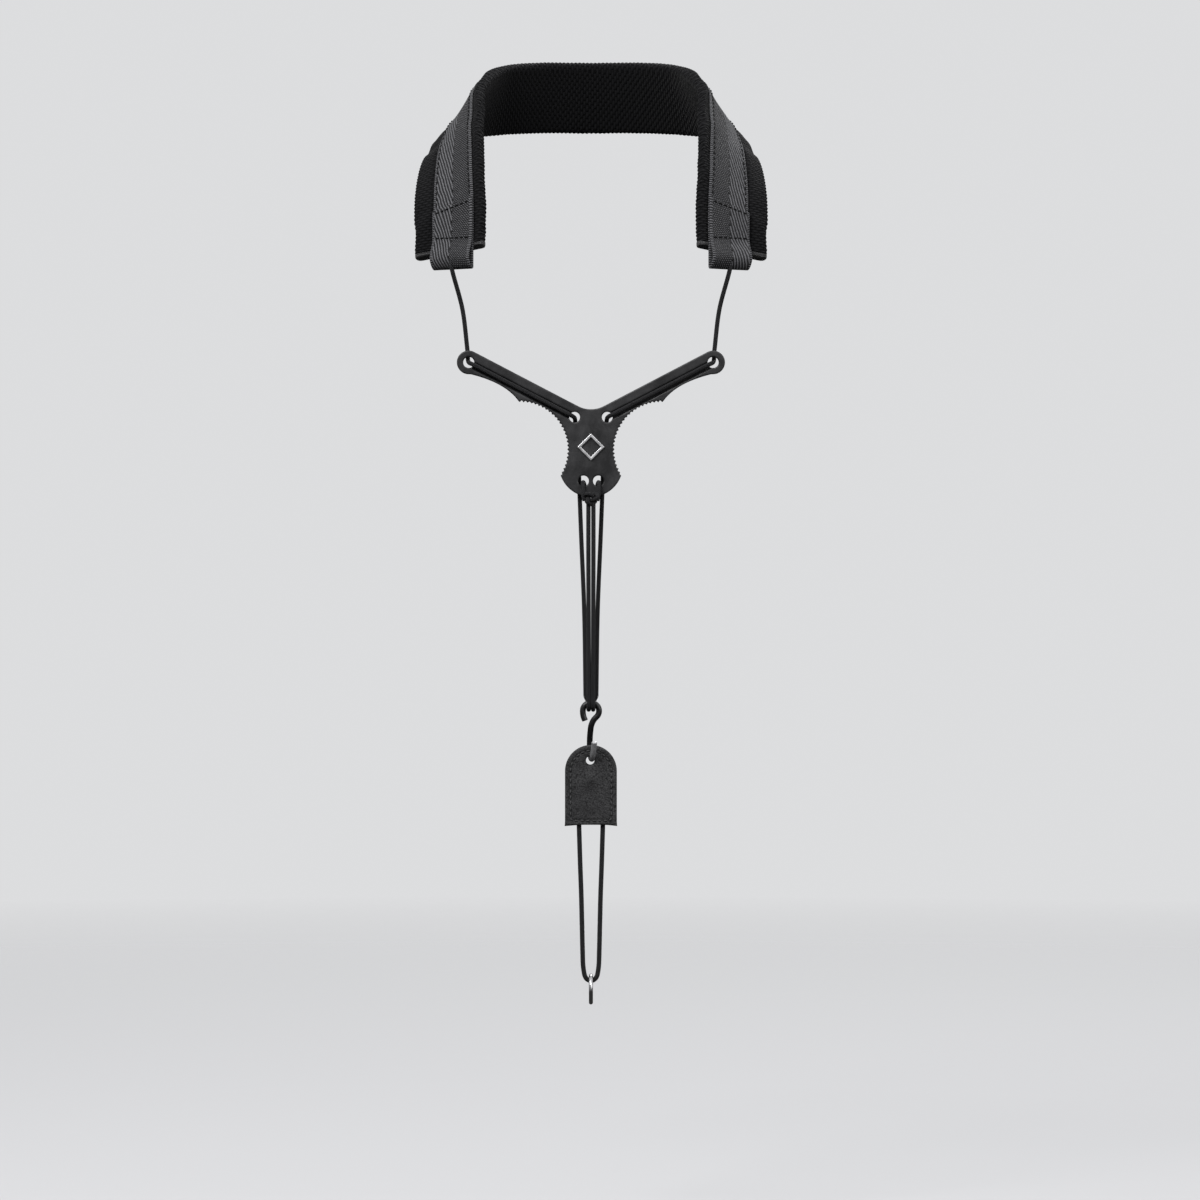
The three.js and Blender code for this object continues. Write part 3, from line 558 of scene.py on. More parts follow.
class BandCourse:
    """Where the band runs: a table of its centre line and of its two cross directions."""

    def __init__(self, steps=160):
        middle = np.array([at for at, _ in LEFT_ROUTE])
        across = np.array([way for _, way in LEFT_ROUTE])
        middle = np.vstack([middle, mirrored(middle[-2::-1])])
        across = np.vstack([across, mirrored(across[-2::-1])])
        self.points, self.tangents = self.spline(middle, steps)
        widths, _ = self.spline(across, steps)
        self.tangents = unit(self.tangents)
        widths -= self.tangents * np.sum(widths * self.tangents, axis=1, keepdims=True)
        self.widths = unit(widths)
        self.outwards = np.cross(self.tangents, self.widths)
        length = distances(self.points)
        self.end = length[-1] / 2
        self.along = length - self.end

    @staticmethod
    def spline(points, steps):
        """The uniform Catmull-Rom curve through the points, and its slope."""
        padded = with_ghosts(points)
        t = np.linspace(0, 1, steps, endpoint=False)[:, None]
        places, slopes = [], []
        for i, (a, b, c, d) in enumerate(zip(padded, padded[1:], padded[2:], padded[3:])):
            s = np.vstack([t, [[1]]]) if i == len(points) - 2 else t
            m0, m1 = (c - a) / 2, (d - b) / 2
            cubic, square = 2 * b - 2 * c + m0 + m1, -3 * b + 3 * c - 2 * m0 - m1
            places.append(cubic * s**3 + square * s**2 + m0 * s + b)
            slopes.append(3 * cubic * s**2 + 2 * square * s + m0)
        return np.vstack(places), np.vstack(slopes)

    def at(self, along, across, out):
        """Points at distances along from the nape, across towards the lower edge, and out
        from the neck. Past its ends the band is straight."""
        along, across, out = np.broadcast_arrays(*(np.asarray(x, float) for x in (along, across, out)))
        inside = np.clip(along, -self.end, self.end)
        return (
            between(inside, self.along, self.points)
            + between(inside, self.along, self.tangents) * (along - inside)[..., None]
            + between(inside, self.along, self.widths) * across[..., None]
            + between(inside, self.along, self.outwards) * out[..., None]
        )

    def outward(self, along):
        return between(np.clip(along, -self.end, self.end), self.along, self.outwards)


BAND = BandCourse()

PAD_WIDTH = 0.041
PAD_TOP = 0.0057
HEM_LENGTH = 0.0036
WEBBING_THICKNESS = 0.0013
WEBBING_MIDDLE = -0.004
WEBBING_UPPER = WEBBING_MIDDLE - WEBBING_WIDTH / 2
WEBBING_LOWER = WEBBING_MIDDLE + WEBBING_WIDTH / 2
FOLD_LENGTH = 0.025
FOLD_REACH = 0.0064
TUNNEL_SEAM = 0.0062
TUNNEL_HEIGHT = 0.0036
WEBBING_OUT = PAD_TOP + GAP + WEBBING_THICKNESS / 2
FOLD_OUT = WEBBING_OUT + WEBBING_THICKNESS + GAP
FOLD_TURN = (TUNNEL_HEIGHT + WEBBING_THICKNESS) / 2
FOLD_DROOP = 0.0036  # the fold's back hangs lower than its front, unlike in the CAD source
TUNNEL_OUT = WEBBING_OUT + FOLD_TURN
CUT_SLANT = 0.2  # the cut end and its seam reach further up on the inner side
TURN_SLANT = -0.15  # and the fold's turn and its seam run level
KNOT_ALONG = 0.0028
KNOT_LENGTH = 0.0056


def tunnel_point(side, beyond):
    """A point on the middle line of a fold's hollow, beyond the pad's end."""
    return BAND.at(side * (BAND.end + beyond), WEBBING_MIDDLE, TUNNEL_OUT)


# ---------------------------------------------------------------- cords

BEHIND_YOKE = 0.0031
GROOVE_Y = -0.0018
YOKE_CORD_TOP = 0.0317
OUTER_X = 0.0029  # the outer strands at the eye, further apart than in the CAD source
INNER_X = 0.00115  # and the inner ones, in front of them and closer together than there
BIGHT_X = 0.0013  # the turn starts squeezed in between the eye's shoulders
STRAND_TOP = -0.0468
BIGHT_RADIUS = 0.0037
BIGHT_TOP = -0.155

ARM_CORD_ROUTE = [
    (0.0667, BEHIND_YOKE, YOKE_CORD_TOP),
    (0.0666, BEHIND_YOKE, 0.0289),
    (0.0664, 0.0021, 0.0264),
    (0.0657, 0, 0.0251),
    (0.0637, -0.002, 0.0241),
    (0.0571, GROOVE_Y, 0.0207),
    (0.0374, GROOVE_Y, 0.0105),
    (0.0177, GROOVE_Y, 0.0003),
    (0.0114, -0.002, -0.003),
    (0.0093, -0.0004, -0.0042),
    (0.0087, 0.0017, -0.005),
    (0.0084, BEHIND_YOKE, -0.0073),
    (0.0072, BEHIND_YOKE, -0.017),
    (0.0066, BEHIND_YOKE, -0.032),
    (0.0061, BEHIND_YOKE, STRAND_TOP),
]
TAIL_ROUTE = [
    (0.0034, -0.005, -0.0495),
    (0.0041, -0.0047, -0.0462),
    (0.0043, -0.0039, -0.0431),
    (0.0043, -0.0028, -0.041),
    (0.0042, -0.0012, -0.0397),
    (0.0041, 0, -0.0394),
    (0.0039, 0.0015, -0.0397),
    (0.0035, 0.0029, -0.041),
    (0.0032, BEHIND_YOKE, -0.0436),
    (0.0027, BEHIND_YOKE, -0.0474),
    (0.0022, 0.0014, -0.0497),
    (0.0019, -0.0008, -0.05),
    (0.0018, -0.0022, -0.0496),
]
OUTER_STRAND_ROUTE = [
    (0.0061, BEHIND_YOKE, STRAND_TOP + OVERLAP),
    (0.0052, BIGHT_RADIUS, -0.07),
    (0.0036, BIGHT_RADIUS, -0.11),
    (OUTER_X, BIGHT_RADIUS, BIGHT_TOP - OVERLAP),
]
INNER_STRAND_ROUTE = [
    (INNER_X + 0.0002, -0.0051, -0.0495),
    (INNER_X + 0.0002, -0.0046, -0.08),
    (INNER_X + 0.0001, -0.0039, -0.115),
    (INNER_X, -BIGHT_RADIUS, BIGHT_TOP - OVERLAP),
]
BIGHT_ROUTE = [
    (OUTER_X, BIGHT_RADIUS, 0.0035),
    *[(x, y, z) for x, (y, z) in zip(np.linspace(BIGHT_X, INNER_X, 9), arc(BIGHT_RADIUS, 0, -180, 8))],
    (INNER_X, -BIGHT_RADIUS, 0.0035),
]
LOOP_END_ROUTE = [
    (0.0036, 0, -0.0106),
    (0.0052, 0, -0.0136),
    (0.0062, 0, -0.019),
    (0.0064, 0, -0.027),
    (0.0064, 0, -0.0362),
]
LOOP_SIDE = [
    (0.0064, 0, 0),
    (0.0062, 0, -0.006),
    (0.0058, 0, -0.019),
    (0.0052, 0, -0.036),
    (0.0048, 0, -0.053),
    (0.0045, 0, -0.066),
    (0.0041, 0, -0.075),
    (0.003, 0, -0.08),
    (0.0014, 0, -0.0816),
]


def upper_cord_route():
    """From the knot in the fold down to the back of the yoke's lug, on the right."""
    return [
        tunnel_point(1, KNOT_ALONG + KNOT_LENGTH / 2 + GAP),
        tunnel_point(1, FOLD_REACH + FOLD_TURN + 0.002),
        (0.0694, HANG_Y + 0.0014, -0.125),
        YOKE_AT + (0.0667, BEHIND_YOKE, YOKE_CORD_TOP - OVERLAP),
    ]


def cord_piece(name, path, body=None):
    """A stretch of cord along an evenly spaced path, as a mesh tube."""
    piece = new_piece(f"{name}_braid", *tube(path, CORD / 2))
    return finished(piece, BRAID, body, [name])


def knot_piece(name, body, centre, half_size, cord_radius):
    """A small tight knot: a three-lobed loop of cord in the X and Z directions."""
    t = np.linspace(0, 2 * math.pi, 97)
    lobes = np.stack([np.sin(t) + 2 * np.sin(2 * t), -np.sin(3 * t), np.cos(t) - 2 * np.cos(2 * t)], axis=1)
    reach = np.array(half_size) - cord_radius
    path = np.array(centre) + lobes / np.abs(lobes).max(axis=0) * reach
    bar = closed_tube(path, cord_radius, 16, math.pi * CORD, path_length(path))
    return finished(new_piece(f"{name}_tied", *bar), BRAID, body, [name])


def make_upper_cords():
    for word, side in SIDES.items():
        path = smooth_path(on_side(upper_cord_route(), side))
        piece = cord_piece(f"upper_cord_{word}", path)
        knot = knot_piece(
            f"anchor_knot_{word}",
            "neck_band",
            tunnel_point(side, KNOT_ALONG),
            half_size=(0.0026, 0.0017, 0.003),
            cord_radius=0.001,
        )
        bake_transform(piece)


def make_yoke_cords():
    knot = knot_piece(
        "cord_knot",
        "yoke",
        YOKE_AT + (0, -0.0054, -0.0481),
        half_size=(0.0047, 0.0027, 0.0044),
        cord_radius=0.0011,
    )
    for word, side in SIDES.items():
        arm_path = smooth_path(YOKE_AT + on_side(ARM_CORD_ROUTE, side))
        arm = cord_piece(f"arm_cord_{word}", arm_path, "yoke")
        tail_path = smooth_path(YOKE_AT + on_side(TAIL_ROUTE, side))
        tail = cord_piece(f"tail_cord_{word}", tail_path, "yoke")


def make_strands():
    for word, side in SIDES.items():
        bight_path = smooth_path(HOOK_AT + on_side(BIGHT_ROUTE, side), 0.0005)
        bight = cord_piece(f"cord_bight_{word}", bight_path, "bights")
        for kind, route in (("outer", OUTER_STRAND_ROUTE), ("inner", INNER_STRAND_ROUTE)):
            path = smooth_path(YOKE_AT + on_side(route, side))
            piece = cord_piece(f"{kind}_strand_{word}", path)
            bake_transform(piece)


def make_loop():
    """One elastic cord: from the knot in the tab down, round the bottom and up again."""
    right = np.vstack([TAB_AT + LOOP_END_ROUTE, LOOP_AT + LOOP_SIDE[1:]])
    path = smooth_path(np.vstack([mirrored(right), [RING_AT], right[::-1]]))
    loop = new_piece("loop_cord_braid", *tube(path, ELASTIC / 2))
    finished(loop, BRAID, replaces=["loop_cord", "loop_end_left", "loop_end_right"])
    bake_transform(loop)
    knot = knot_piece(
        "loop_knot",
        "tab",
        TAB_AT - (0, 0, 0.0092),
        half_size=(0.003, 0.0013, 0.003),
        cord_radius=0.0008,
    )


# ---------------------------------------------------------------- neck pad

SCALLOP = 0.0022  # pitch of the knit's ribs along the pad's edge
SCALLOP_HEIGHT = 0.00022
PAD_CORNER = 0.0034  # how far in from its edges the pad's section is rounded
PAD_SQUARENESS = 0.72  # 1 would be an ellipse, and 0 a square corner
WEBBING_EASE = 0.0016  # width over which the webbing's pressure on the pad fades
PUFF = 0.0007  # how far the knit stands up beside the webbing
DENT = 0.0003  # and sinks in under it
SKIN_HOLD = 0.6  # how firmly the skin side is held while the pad fills
SWELL_CAP = 0.0009


def pad_section():
    """(across, out) points round the pad: flat on the skin, softly square at both edges."""
    half, thick = PAD_WIDTH / 2 + 0.0004, PAD_TOP + 0.0002
    angles = np.radians(np.linspace(-90, 90, 13))
    corner = np.stack([np.cos(angles), np.sin(angles)], axis=1)
    corner = np.sign(corner) * np.abs(corner) ** PAD_SQUARENESS * (PAD_CORNER, thick / 2)
    right = corner + (half - PAD_CORNER, thick / 2)
    flat = np.linspace(-1, 1, 24)[1:-1] * (half - PAD_CORNER)
    skin = np.stack([flat, np.zeros(22)], axis=1)
    face = np.stack([flat[::-1], np.full(22, thick)], axis=1)
    left = right[::-1] * (-1, 1)
    return np.vstack([skin, right, face, left])


def girth(section):
    """How far round a closed section each of its points lies, and the whole way round."""
    return distances(np.vstack([section, section[:1]]))


def under_webbing(across):
    """1 below the webbing, falling to 0 just outside its edges."""
    reach = np.abs(across - WEBBING_MIDDLE) - WEBBING_WIDTH / 2
    return 1 - smoothstep(np.clip(reach / WEBBING_EASE, 0, 1))


def swell(piece, held, columns):
    """Fills the pad by a short cloth simulation. held pins each vertex, wholly where it is 1.
    What moved is evened out along the pad, pinned rows included, and kept below the cap."""
    group = piece.vertex_groups.new(name="held")
    for weight in (1.0, SKIN_HOLD):
        group.add([int(i) for i in np.nonzero(np.isclose(held, weight))[0]], weight, "REPLACE")
    before = np.array([v.co for v in piece.data.vertices])
    cloth = piece.modifiers.new("cloth", "CLOTH")
    cloth.settings.quality = 4
    cloth.settings.mass = 0.15
    cloth.settings.vertex_group_mass = "held"
    cloth.settings.shrink_min = -0.03
    cloth.settings.use_pressure = True
    cloth.settings.uniform_pressure_force = 4
    cloth.settings.effector_weights.gravity = 0
    cloth.collision_settings.use_collision = False
    scene = bpy.context.scene
    for number in range(1, 13):
        scene.frame_set(number)
    applied(piece)
    after = np.array([v.co for v in piece.data.vertices])
    moved = (after - before).reshape(-1, columns, 3)
    for _ in range(6):
        moved[1:-1] = (moved[:-2] + 2 * moved[1:-1] + moved[2:]) / 4
    moved = moved.reshape(-1, 3)
    distance = np.linalg.norm(moved, axis=1, keepdims=True)
    kept = SWELL_CAP * np.tanh(distance / SWELL_CAP)
    eased = before + moved / np.maximum(distance, 1e-9) * kept
    piece.data.vertices.foreach_set("co", eased.astype(np.float32).ravel())
    scene.frame_set(1)


def make_pad():
    section = pad_section()
    across, out = section.T
    on_face = out > PAD_TOP * 0.92
    pressed = under_webbing(across)
    out = out + np.where(on_face, (1 - pressed) * PUFF, 0) - np.where(on_face, pressed * DENT, 0)
    reach = BAND.end - HEM_LENGTH * 0.6
    along = np.linspace(-reach, reach, 460)
    rows = BAND.at(along[:, None], across[None, :], out[None, :])
    piece = new_piece("neck_pad", *lofted(rows, girth(section), along))
    held = np.where(on_face & (pressed > 0.5), 1.0, 0.0)
    held = np.maximum(held, np.where(out < 1e-6, SKIN_HOLD, 0.0))
    held = np.tile(held, len(along)).reshape(len(along), -1)
    held[:3] = held[-3:] = 1.0
    swell(piece, held.ravel(), len(section))
    rib(piece, len(along), len(section))
    finished(piece, KNIT, "neck_band", ["pad_lining", "pad_foam", "pad_cover"])


def rib(piece, row_count, columns):
    """One subdivision, and then the small scallops of the knit along both edges."""
    smoother = piece.modifiers.new("finer", "SUBSURF")
    smoother.levels = smoother.render_levels = 1
    applied(piece)
    mesh = piece.data
    places = np.array([v.co for v in mesh.vertices])
    uv = np.zeros(len(mesh.loops) * 2, np.float32)
    mesh.uv_layers[0].data.foreach_get("uv", uv)
    corner = np.zeros(len(mesh.loops), np.int32)
    mesh.loops.foreach_get("vertex_index", corner)
    along = np.zeros(len(places))
    along[corner] = uv.reshape(-1, 2)[:, 1]
    middle = BAND.at(along, 0, PAD_TOP / 2)
    offset = places - middle
    edge = np.clip(np.linalg.norm(offset, axis=1) / (PAD_WIDTH / 2) - 0.8, 0, 0.2) * 5
    wave = np.cos(along * 2 * math.pi / SCALLOP)
    places += unit(offset) * (SCALLOP_HEIGHT * wave * edge)[:, None]
    mesh.vertices.foreach_set("co", places.astype(np.float32).ravel())


def make_hems():
    """A rolled hem over each end of the pad, a little fuller than the pad."""
    section = pad_section()
    middle = np.array([0, PAD_TOP / 2])
    roll = np.linspace(-1, 1, 17)
    for word, side in SIDES.items():
        rows = []
        for s in roll:
            full = (1 - abs(s) ** 3.2) ** (1 / 3.2)
            shape = middle + (section - middle) * (1.0, 0.74 + 0.3 * full)
            shape = shape - np.sign(section - middle) * (0.0009 * (1 - full), 0)
            along = side * (BAND.end - HEM_LENGTH / 2 + HEM_LENGTH / 2 * s)
            rows.append(BAND.at(along, shape[:, 0], shape[:, 1]))
        rows = rows if side > 0 else rows[::-1]
        piece = new_piece(f"hem_roll_{word}", *lofted(rows, girth(section), roll * HEM_LENGTH / 2))
        finished(piece, BINDING, "neck_band", [f"pad_hem_{word}"])


# ---------------------------------------------------------------- webbing and its seams


def webbing_section():
    """(across, height) points round the strip, with round selvedges."""
    radius = WEBBING_THICKNESS / 2
    flat = np.linspace(WEBBING_UPPER + radius, WEBBING_LOWER - radius, 18)
    bottom = np.stack([flat, np.full(18, -radius)], axis=1)
    right = arc(radius, -90, 90, 6)[1:-1] + (WEBBING_LOWER - radius, 0)
    top = np.stack([flat[::-1], np.full(18, radius)], axis=1)
    left = arc(radius, 90, 270, 6)[1:-1] + (WEBBING_UPPER + radius, 0)
    return np.vstack([bottom, right, top, left])


def right_fold():
    """(along, out, tilt) from the turn of the right-hand fold to its cut end."""
    stations = []
    for a in np.linspace(0, math.pi, 25):
        hang = FOLD_TURN * math.sin(a) + FOLD_DROOP * (1 + math.cos(a)) / 2
        tilt = math.atan2(FOLD_TURN * math.sin(a), FOLD_TURN * math.cos(a) - FOLD_DROOP / 2 * math.sin(a))
        stations.append((BAND.end + FOLD_REACH + hang, TUNNEL_OUT - FOLD_TURN * math.cos(a), tilt))
    settle = np.linspace(0, 1, 13)[1:]
    high, low = TUNNEL_OUT + FOLD_TURN, FOLD_OUT
    for s in settle:
        along = BAND.end + FOLD_REACH * (1 - s) - 0.0065 * s
        lean = math.pi + 0.22 * math.sin(math.pi * s)
        stations.append((along, high + (low - high) * smoothstep(s), lean))
    for along in np.arange(BAND.end - 0.008, BAND.end - FOLD_LENGTH, -0.0013):
        stations.append((along, FOLD_OUT, math.pi))
    stations.append((BAND.end - FOLD_LENGTH, FOLD_OUT, math.pi))
    return np.array(stations)


def make_webbing():
    fold = right_fold()
    other = (fold * (-1, 1, -1))[::-1]
    reach = BAND.end - HEM_LENGTH
    along = np.linspace(-reach, reach, 330)
    flat = np.stack([along, np.full(330, WEBBING_OUT), np.zeros(330)], axis=1)
    stations = np.vstack([other, flat, fold])
    section = webbing_section()
    across, height = section.T
    along, out, tilt = stations.T
    folded = (np.abs(tilt) > 1) | (np.abs(along) > BAND.end)
    to_turn = np.clip((np.abs(along) - (BAND.end - FOLD_LENGTH)) / (FOLD_LENGTH - TUNNEL_SEAM), 0, 1)
    cut_slant = CUT_SLANT + (TURN_SLANT - CUT_SLANT) * to_turn
    slant = np.sign(along) * np.where(folded, cut_slant, 0)
    wave = np.where(folded, 0.00006, 0.00012)[:, None] * np.sin(along[:, None] / 0.0065 + across * 260)
    rows = BAND.at(
        along[:, None] + slant[:, None] * (across - WEBBING_MIDDLE) - height * np.sin(tilt)[:, None],
        across,
        out[:, None] + height * np.cos(tilt)[:, None] + wave,
    )
    run = distances(stations[:, :2])
    left_turn, right_turn = run[np.argmin(along)], run[np.argmax(along)]
    folded_under = np.where(run < left_turn, 2 * left_turn - run, run)
    folded_under = np.where(run > right_turn, 2 * right_turn - run, folded_under)
    u = np.append(across, across[0]) - WEBBING_MIDDLE
    piece = new_piece("webbing_woven", *lofted(rows, u, folded_under))
    finished(piece, WEBBING, "neck_band", ["webbing_strap"])


def band_stitches(name, along, across, out, length=0.0026, pitch=0.0036, radius=0.00032):
    path = BAND.at(along, across, out)
    piece = new_piece(f"{name}_stitches", *stitches(path, BAND.outward(along), length, pitch, radius))
    finished(piece, SEAM_THREAD, "neck_band", [name])


def make_band_seams():
    lower_face = WEBBING_OUT + WEBBING_THICKNESS / 2
    upper_face = FOLD_OUT + WEBBING_THICKNESS / 2
    reach = BAND.end - FOLD_LENGTH - 0.001
    along = np.linspace(-reach, reach, 300)
    band_stitches("strap_seam_upper", along, WEBBING_UPPER + 0.002, lower_face)
    band_stitches("strap_seam_lower", along, WEBBING_LOWER - 0.002, lower_face)
    across = np.linspace(WEBBING_UPPER + 0.001, WEBBING_LOWER - 0.001, 40)
    for word, side in SIDES.items():
        for name, distance, slant in (
            ("fold_seam", FOLD_LENGTH - 0.002, 0.85 * CUT_SLANT),
            ("tunnel_seam", TUNNEL_SEAM, TURN_SLANT),
        ):
            along = side * (BAND.end - distance + slant * (across - WEBBING_MIDDLE))
            band_stitches(f"{name}_{word}", along, across, upper_face, 0.0022, 0.003, 0.00036)


# ---------------------------------------------------------------- yoke

YOKE_THICKNESS = 0.0032
LUG = {"x": 0.066, "z": 0.0253, "radius": 0.0064, "hole": 0.003}
HOLE_SIDES = 48
# The grip's teeth are taller than in the CAD source, because smoothing lowers them.
GRIP = {"x": 0.0385, "z": -0.0218, "radius": 0.0262, "teeth": 26, "height": 0.0015, "from": 212.7, "to": 90}
INNER_HOLE = (0.0088, -0.0043, 0.0029)
LOWER_HOLE = (0.004, -0.0387, 0.0029)
YOKE_BOTTOM = -0.0474
YOKE_BOTTOM_RADIUS = 0.0173
CROTCH_RADIUS = 0.015
ARM_RISE_DEG = 27.6


def yoke_outline():
    """(x, z) points of the plate's outline, measured from the crotch of the arms."""
    bottom = arc(YOKE_BOTTOM_RADIUS, -90, -20.3, 16) + (0, YOKE_BOTTOM + YOKE_BOTTOM_RADIUS)
    turn = np.linspace(0, GRIP["teeth"], GRIP["teeth"] * 6 + 1)[1:]
    angles = np.radians(GRIP["from"] + (GRIP["to"] - GRIP["from"]) / GRIP["teeth"] * turn)
    tooth = np.arcsin(0.96 * np.cos(turn * 2 * math.pi)) / (math.pi / 2)
    radii = GRIP["radius"] - GRIP["height"] / 2 * tooth
    grip = np.stack([np.cos(angles) * radii + GRIP["x"], np.sin(angles) * radii + GRIP["z"]], axis=1)
    start = np.array([GRIP["x"] + 0.0006, GRIP["z"] + GRIP["radius"]])
    end = np.array([LUG["x"] - 0.0011, LUG["z"] - LUG["radius"]])
    t = np.linspace(0, 1, 16)[:, None]
    lower_edge = start * (1 - t) ** 2 + np.array([0.046, 0.0142]) * 2 * t * (1 - t) + end * t**2
    lug = arc(LUG["radius"], -85, 90 + ARM_RISE_DEG, 28) + (LUG["x"], LUG["z"])
    crotch = arc(CROTCH_RADIUS, -90 + ARM_RISE_DEG, -90, 10) + (0, CROTCH_RADIUS)
    right = np.vstack([bottom, grip, lower_edge, lug, crotch])
    left = right[1:-1][::-1] * (-1, 1)
    return np.vstack([right, left])


def slab(outline, back, front):
    """Vertices and faces of a flat plate between two depths."""
    count = len(outline)
    vertices = [(x, y, z) for y in (front, back) for x, z in outline]
    faces = [[i, count + i, count + (i + 1) % count, (i + 1) % count] for i in range(count)]
    return vertices, [list(range(count)), list(range(count, 2 * count))[::-1], *faces]


def cut(piece, vertices, faces):
    """Takes a closed shape out of the piece."""
    cutter = new_piece("cutter", vertices, faces)
    tool = piece.modifiers.new("cut", "BOOLEAN")
    tool.operation = "DIFFERENCE"
    tool.solver = "EXACT"
    tool.object = cutter
    applied(piece)
    bpy.data.objects.remove(cutter)


def drill(piece, x, z, radius, at=(0, 0, 0)):
    """Cuts a round hole through the piece from front to back, measured from at."""
    vertices, faces = slab(circle(radius, HOLE_SIDES) + (x, z), 0.004, -0.004)
    cut(piece, np.array(vertices) + at, faces)


def make_yoke_plate():
    plate = slab(yoke_outline(), YOKE_THICKNESS / 2, -YOKE_THICKNESS / 2)
    piece = new_piece("yoke_plate_moulded", *plate)
    for side in (-1, 1):
        for x, z, radius in ((LUG["x"], LUG["z"], LUG["hole"]), INNER_HOLE, LOWER_HOLE):
            drill(piece, side * x, z, radius)
        outer_end = (LUG["x"] + 0.001, GROOVE_Y, LUG["z"] + 0.0005)
        inner_end = (INNER_HOLE[0] - 0.001, GROOVE_Y, INNER_HOLE[1] - 0.0005)
        groove = resampled(on_side([outer_end, inner_end], side), 0.002)
        for drop in (0.0001, 0.0008):
            vertices, faces, _ = tube(groove - (0, 0, drop), 0.0017, 24)
            cut(piece, vertices, faces)
    moulded = piece.modifiers.new("moulded", "REMESH")
    moulded.mode = "VOXEL"
    moulded.voxel_size = 0.00034
    softened = piece.modifiers.new("softened", "SMOOTH")
    softened.iterations = 5
    softened.factor = 0.5
    applied(piece)
    piece.data.polygons.foreach_set("use_smooth", [True] * len(piece.data.polygons))
    piece.location = YOKE_AT
    finished(piece, PLASTIC, "yoke", ["yoke_plate"])


def make_emblem():
    """A plain lozenge with an open centre, its edges bevelled."""
    half, rim, back, front = 0.0074, 0.0021, -0.0018, -0.0025
    shoulder, slope = front + 0.0002, 0.0003
    outside = [(0, back), (0, shoulder), (slope, front)]
    inside = [(rim - slope, front), (rim, shoulder), (rim, back)]
    rings = []
    for inset, y in outside + inside:
        reach = half - inset
        rings.append([(reach, y, 0), (0, y, reach), (-reach, y, 0), (0, y, -reach)])
    vertices = np.array(rings).reshape(-1, 3) + YOKE_AT + (0, 0, -0.0205)
    faces = []
    for ring in range(6):
        following = (ring + 1) % 6
        for i in range(4):
            n = (i + 1) % 4
            faces.append([ring * 4 + i, ring * 4 + n, following * 4 + n, following * 4 + i])
    piece = new_piece("yoke_lozenge", vertices, faces, smooth=False)
    bevel = piece.modifiers.new("bevel", "BEVEL")
    bevel.width = 0.00015
    bevel.segments = 2
    applied(piece)
    finished(piece, FOIL, "yoke", ["yoke_emblem"])


# ---------------------------------------------------------------- hook

WIRE = 0.0032
EYE_RADIUS = 0.0044
BEND_RADIUS = 0.0055
SHANK_X = -0.0006  # the shank hangs a little to the left, unlike in the CAD source
TIP_LEAN = 0.0012  # and the bend drifts to the right, up to its tip


def hook_route():
    """The hook's route in the CAD source, with its shank and bend moved sideways and its tip
    leaned forwards."""
    eye = [(x, 0, z - EYE_RADIUS) for x, z in arc(EYE_RADIUS, 165, -30, 7)]
    turn = arc(BEND_RADIUS, 0, -160, 8)
    lean = np.linspace(SHANK_X, TIP_LEAN, len(turn))
    bend = [(x, y, z + BEND_RADIUS - HOOK_LENGTH) for x, (y, z) in zip(lean, turn)]
    return [
        (-0.0031, 0, -0.0097),
        (-0.0041, 0, -0.007),
        *eye,
        (0.0015, 0.0002, -0.0093),
        (0.0002, 0.0009, -0.0122),
        (SHANK_X / 2, 0.0024, -0.0156),
        (SHANK_X, 0.0044, -0.0196),
        *bend,
        (TIP_LEAN + 0.0007, -0.0072, -0.021),
    ]


def cut_flat(path, radius, chamfer=0.00025):
    """A radius for each point of the path, which shrinks only at its very end."""
    to_end = distances(path[::-1])[::-1]
    return radius - np.clip(chamfer - to_end, 0, chamfer)


def make_hook():
    """The wire in its coating, which stops in the bend and leaves the tip bare."""
    path = smooth_path(HOOK_AT + np.array(hook_route(), float), 0.00025)
    lowest = int(np.argmin(path[:, 2]))
    coated = path[: lowest - 4]
    bare = path[lowest - 12 :]
    squared = cut_flat(coated[::-1], WIRE / 2)[::-1]
    sleeve = new_piece("wire_hook_coated", *tube(coated, squared, 24))
    crisp_end(sleeve)
    finished(sleeve, COATING, "hook", ["wire_hook"])
    tip = new_piece("wire_hook_tip", *tube(bare, cut_flat(bare, WIRE / 2 * 0.93), 24))
    crisp_end(tip)
    finished(tip, BARE_STEEL, "hook")


def crisp_end(piece):
    """Flat shading on the caps of a bar."""
    for face in piece.data.polygons:
        if len(face.vertices) > 4:
            face.use_smooth = False


# ---------------------------------------------------------------- leather tab

TAB_HALF = 0.014
TAB_TOP = 0.0076
TAB_BOTTOM = -0.0361
TAB_HEIGHT = 0.0437
LEATHER_THICKNESS = 0.0009
FILLER_THICKNESS = 0.0024
TAB_HOLE_X = -0.0004
TAB_HOLE = (-0.0007, 0.0023)  # height and radius, smaller than in the CAD source
STITCH_INSET = 0.003
STITCH_LINE_Y = FILLER_THICKNESS / 2 + GAP + LEATHER_THICKNESS


def tab_half_width(z):
    """Half the tab's width at height z: round at the top, a little flared at the bottom."""
    centre = TAB_TOP - TAB_HALF
    above = np.clip(z - centre, 0, TAB_HALF)
    flare = 0.0002 * np.clip((TAB_BOTTOM + 0.003 - z) / 0.003, 0, 1) ** 2
    return np.sqrt(np.maximum(TAB_HALF**2 - above**2, 0)) + flare


def tab_edge_distance(x, z):
    """Distance from a point on the tab to its nearest edge."""
    centre = TAB_TOP - TAB_HALF
    to_round = TAB_HALF - np.hypot(x, np.maximum(z - centre, 0))
    return np.minimum(to_round, z - TAB_BOTTOM)


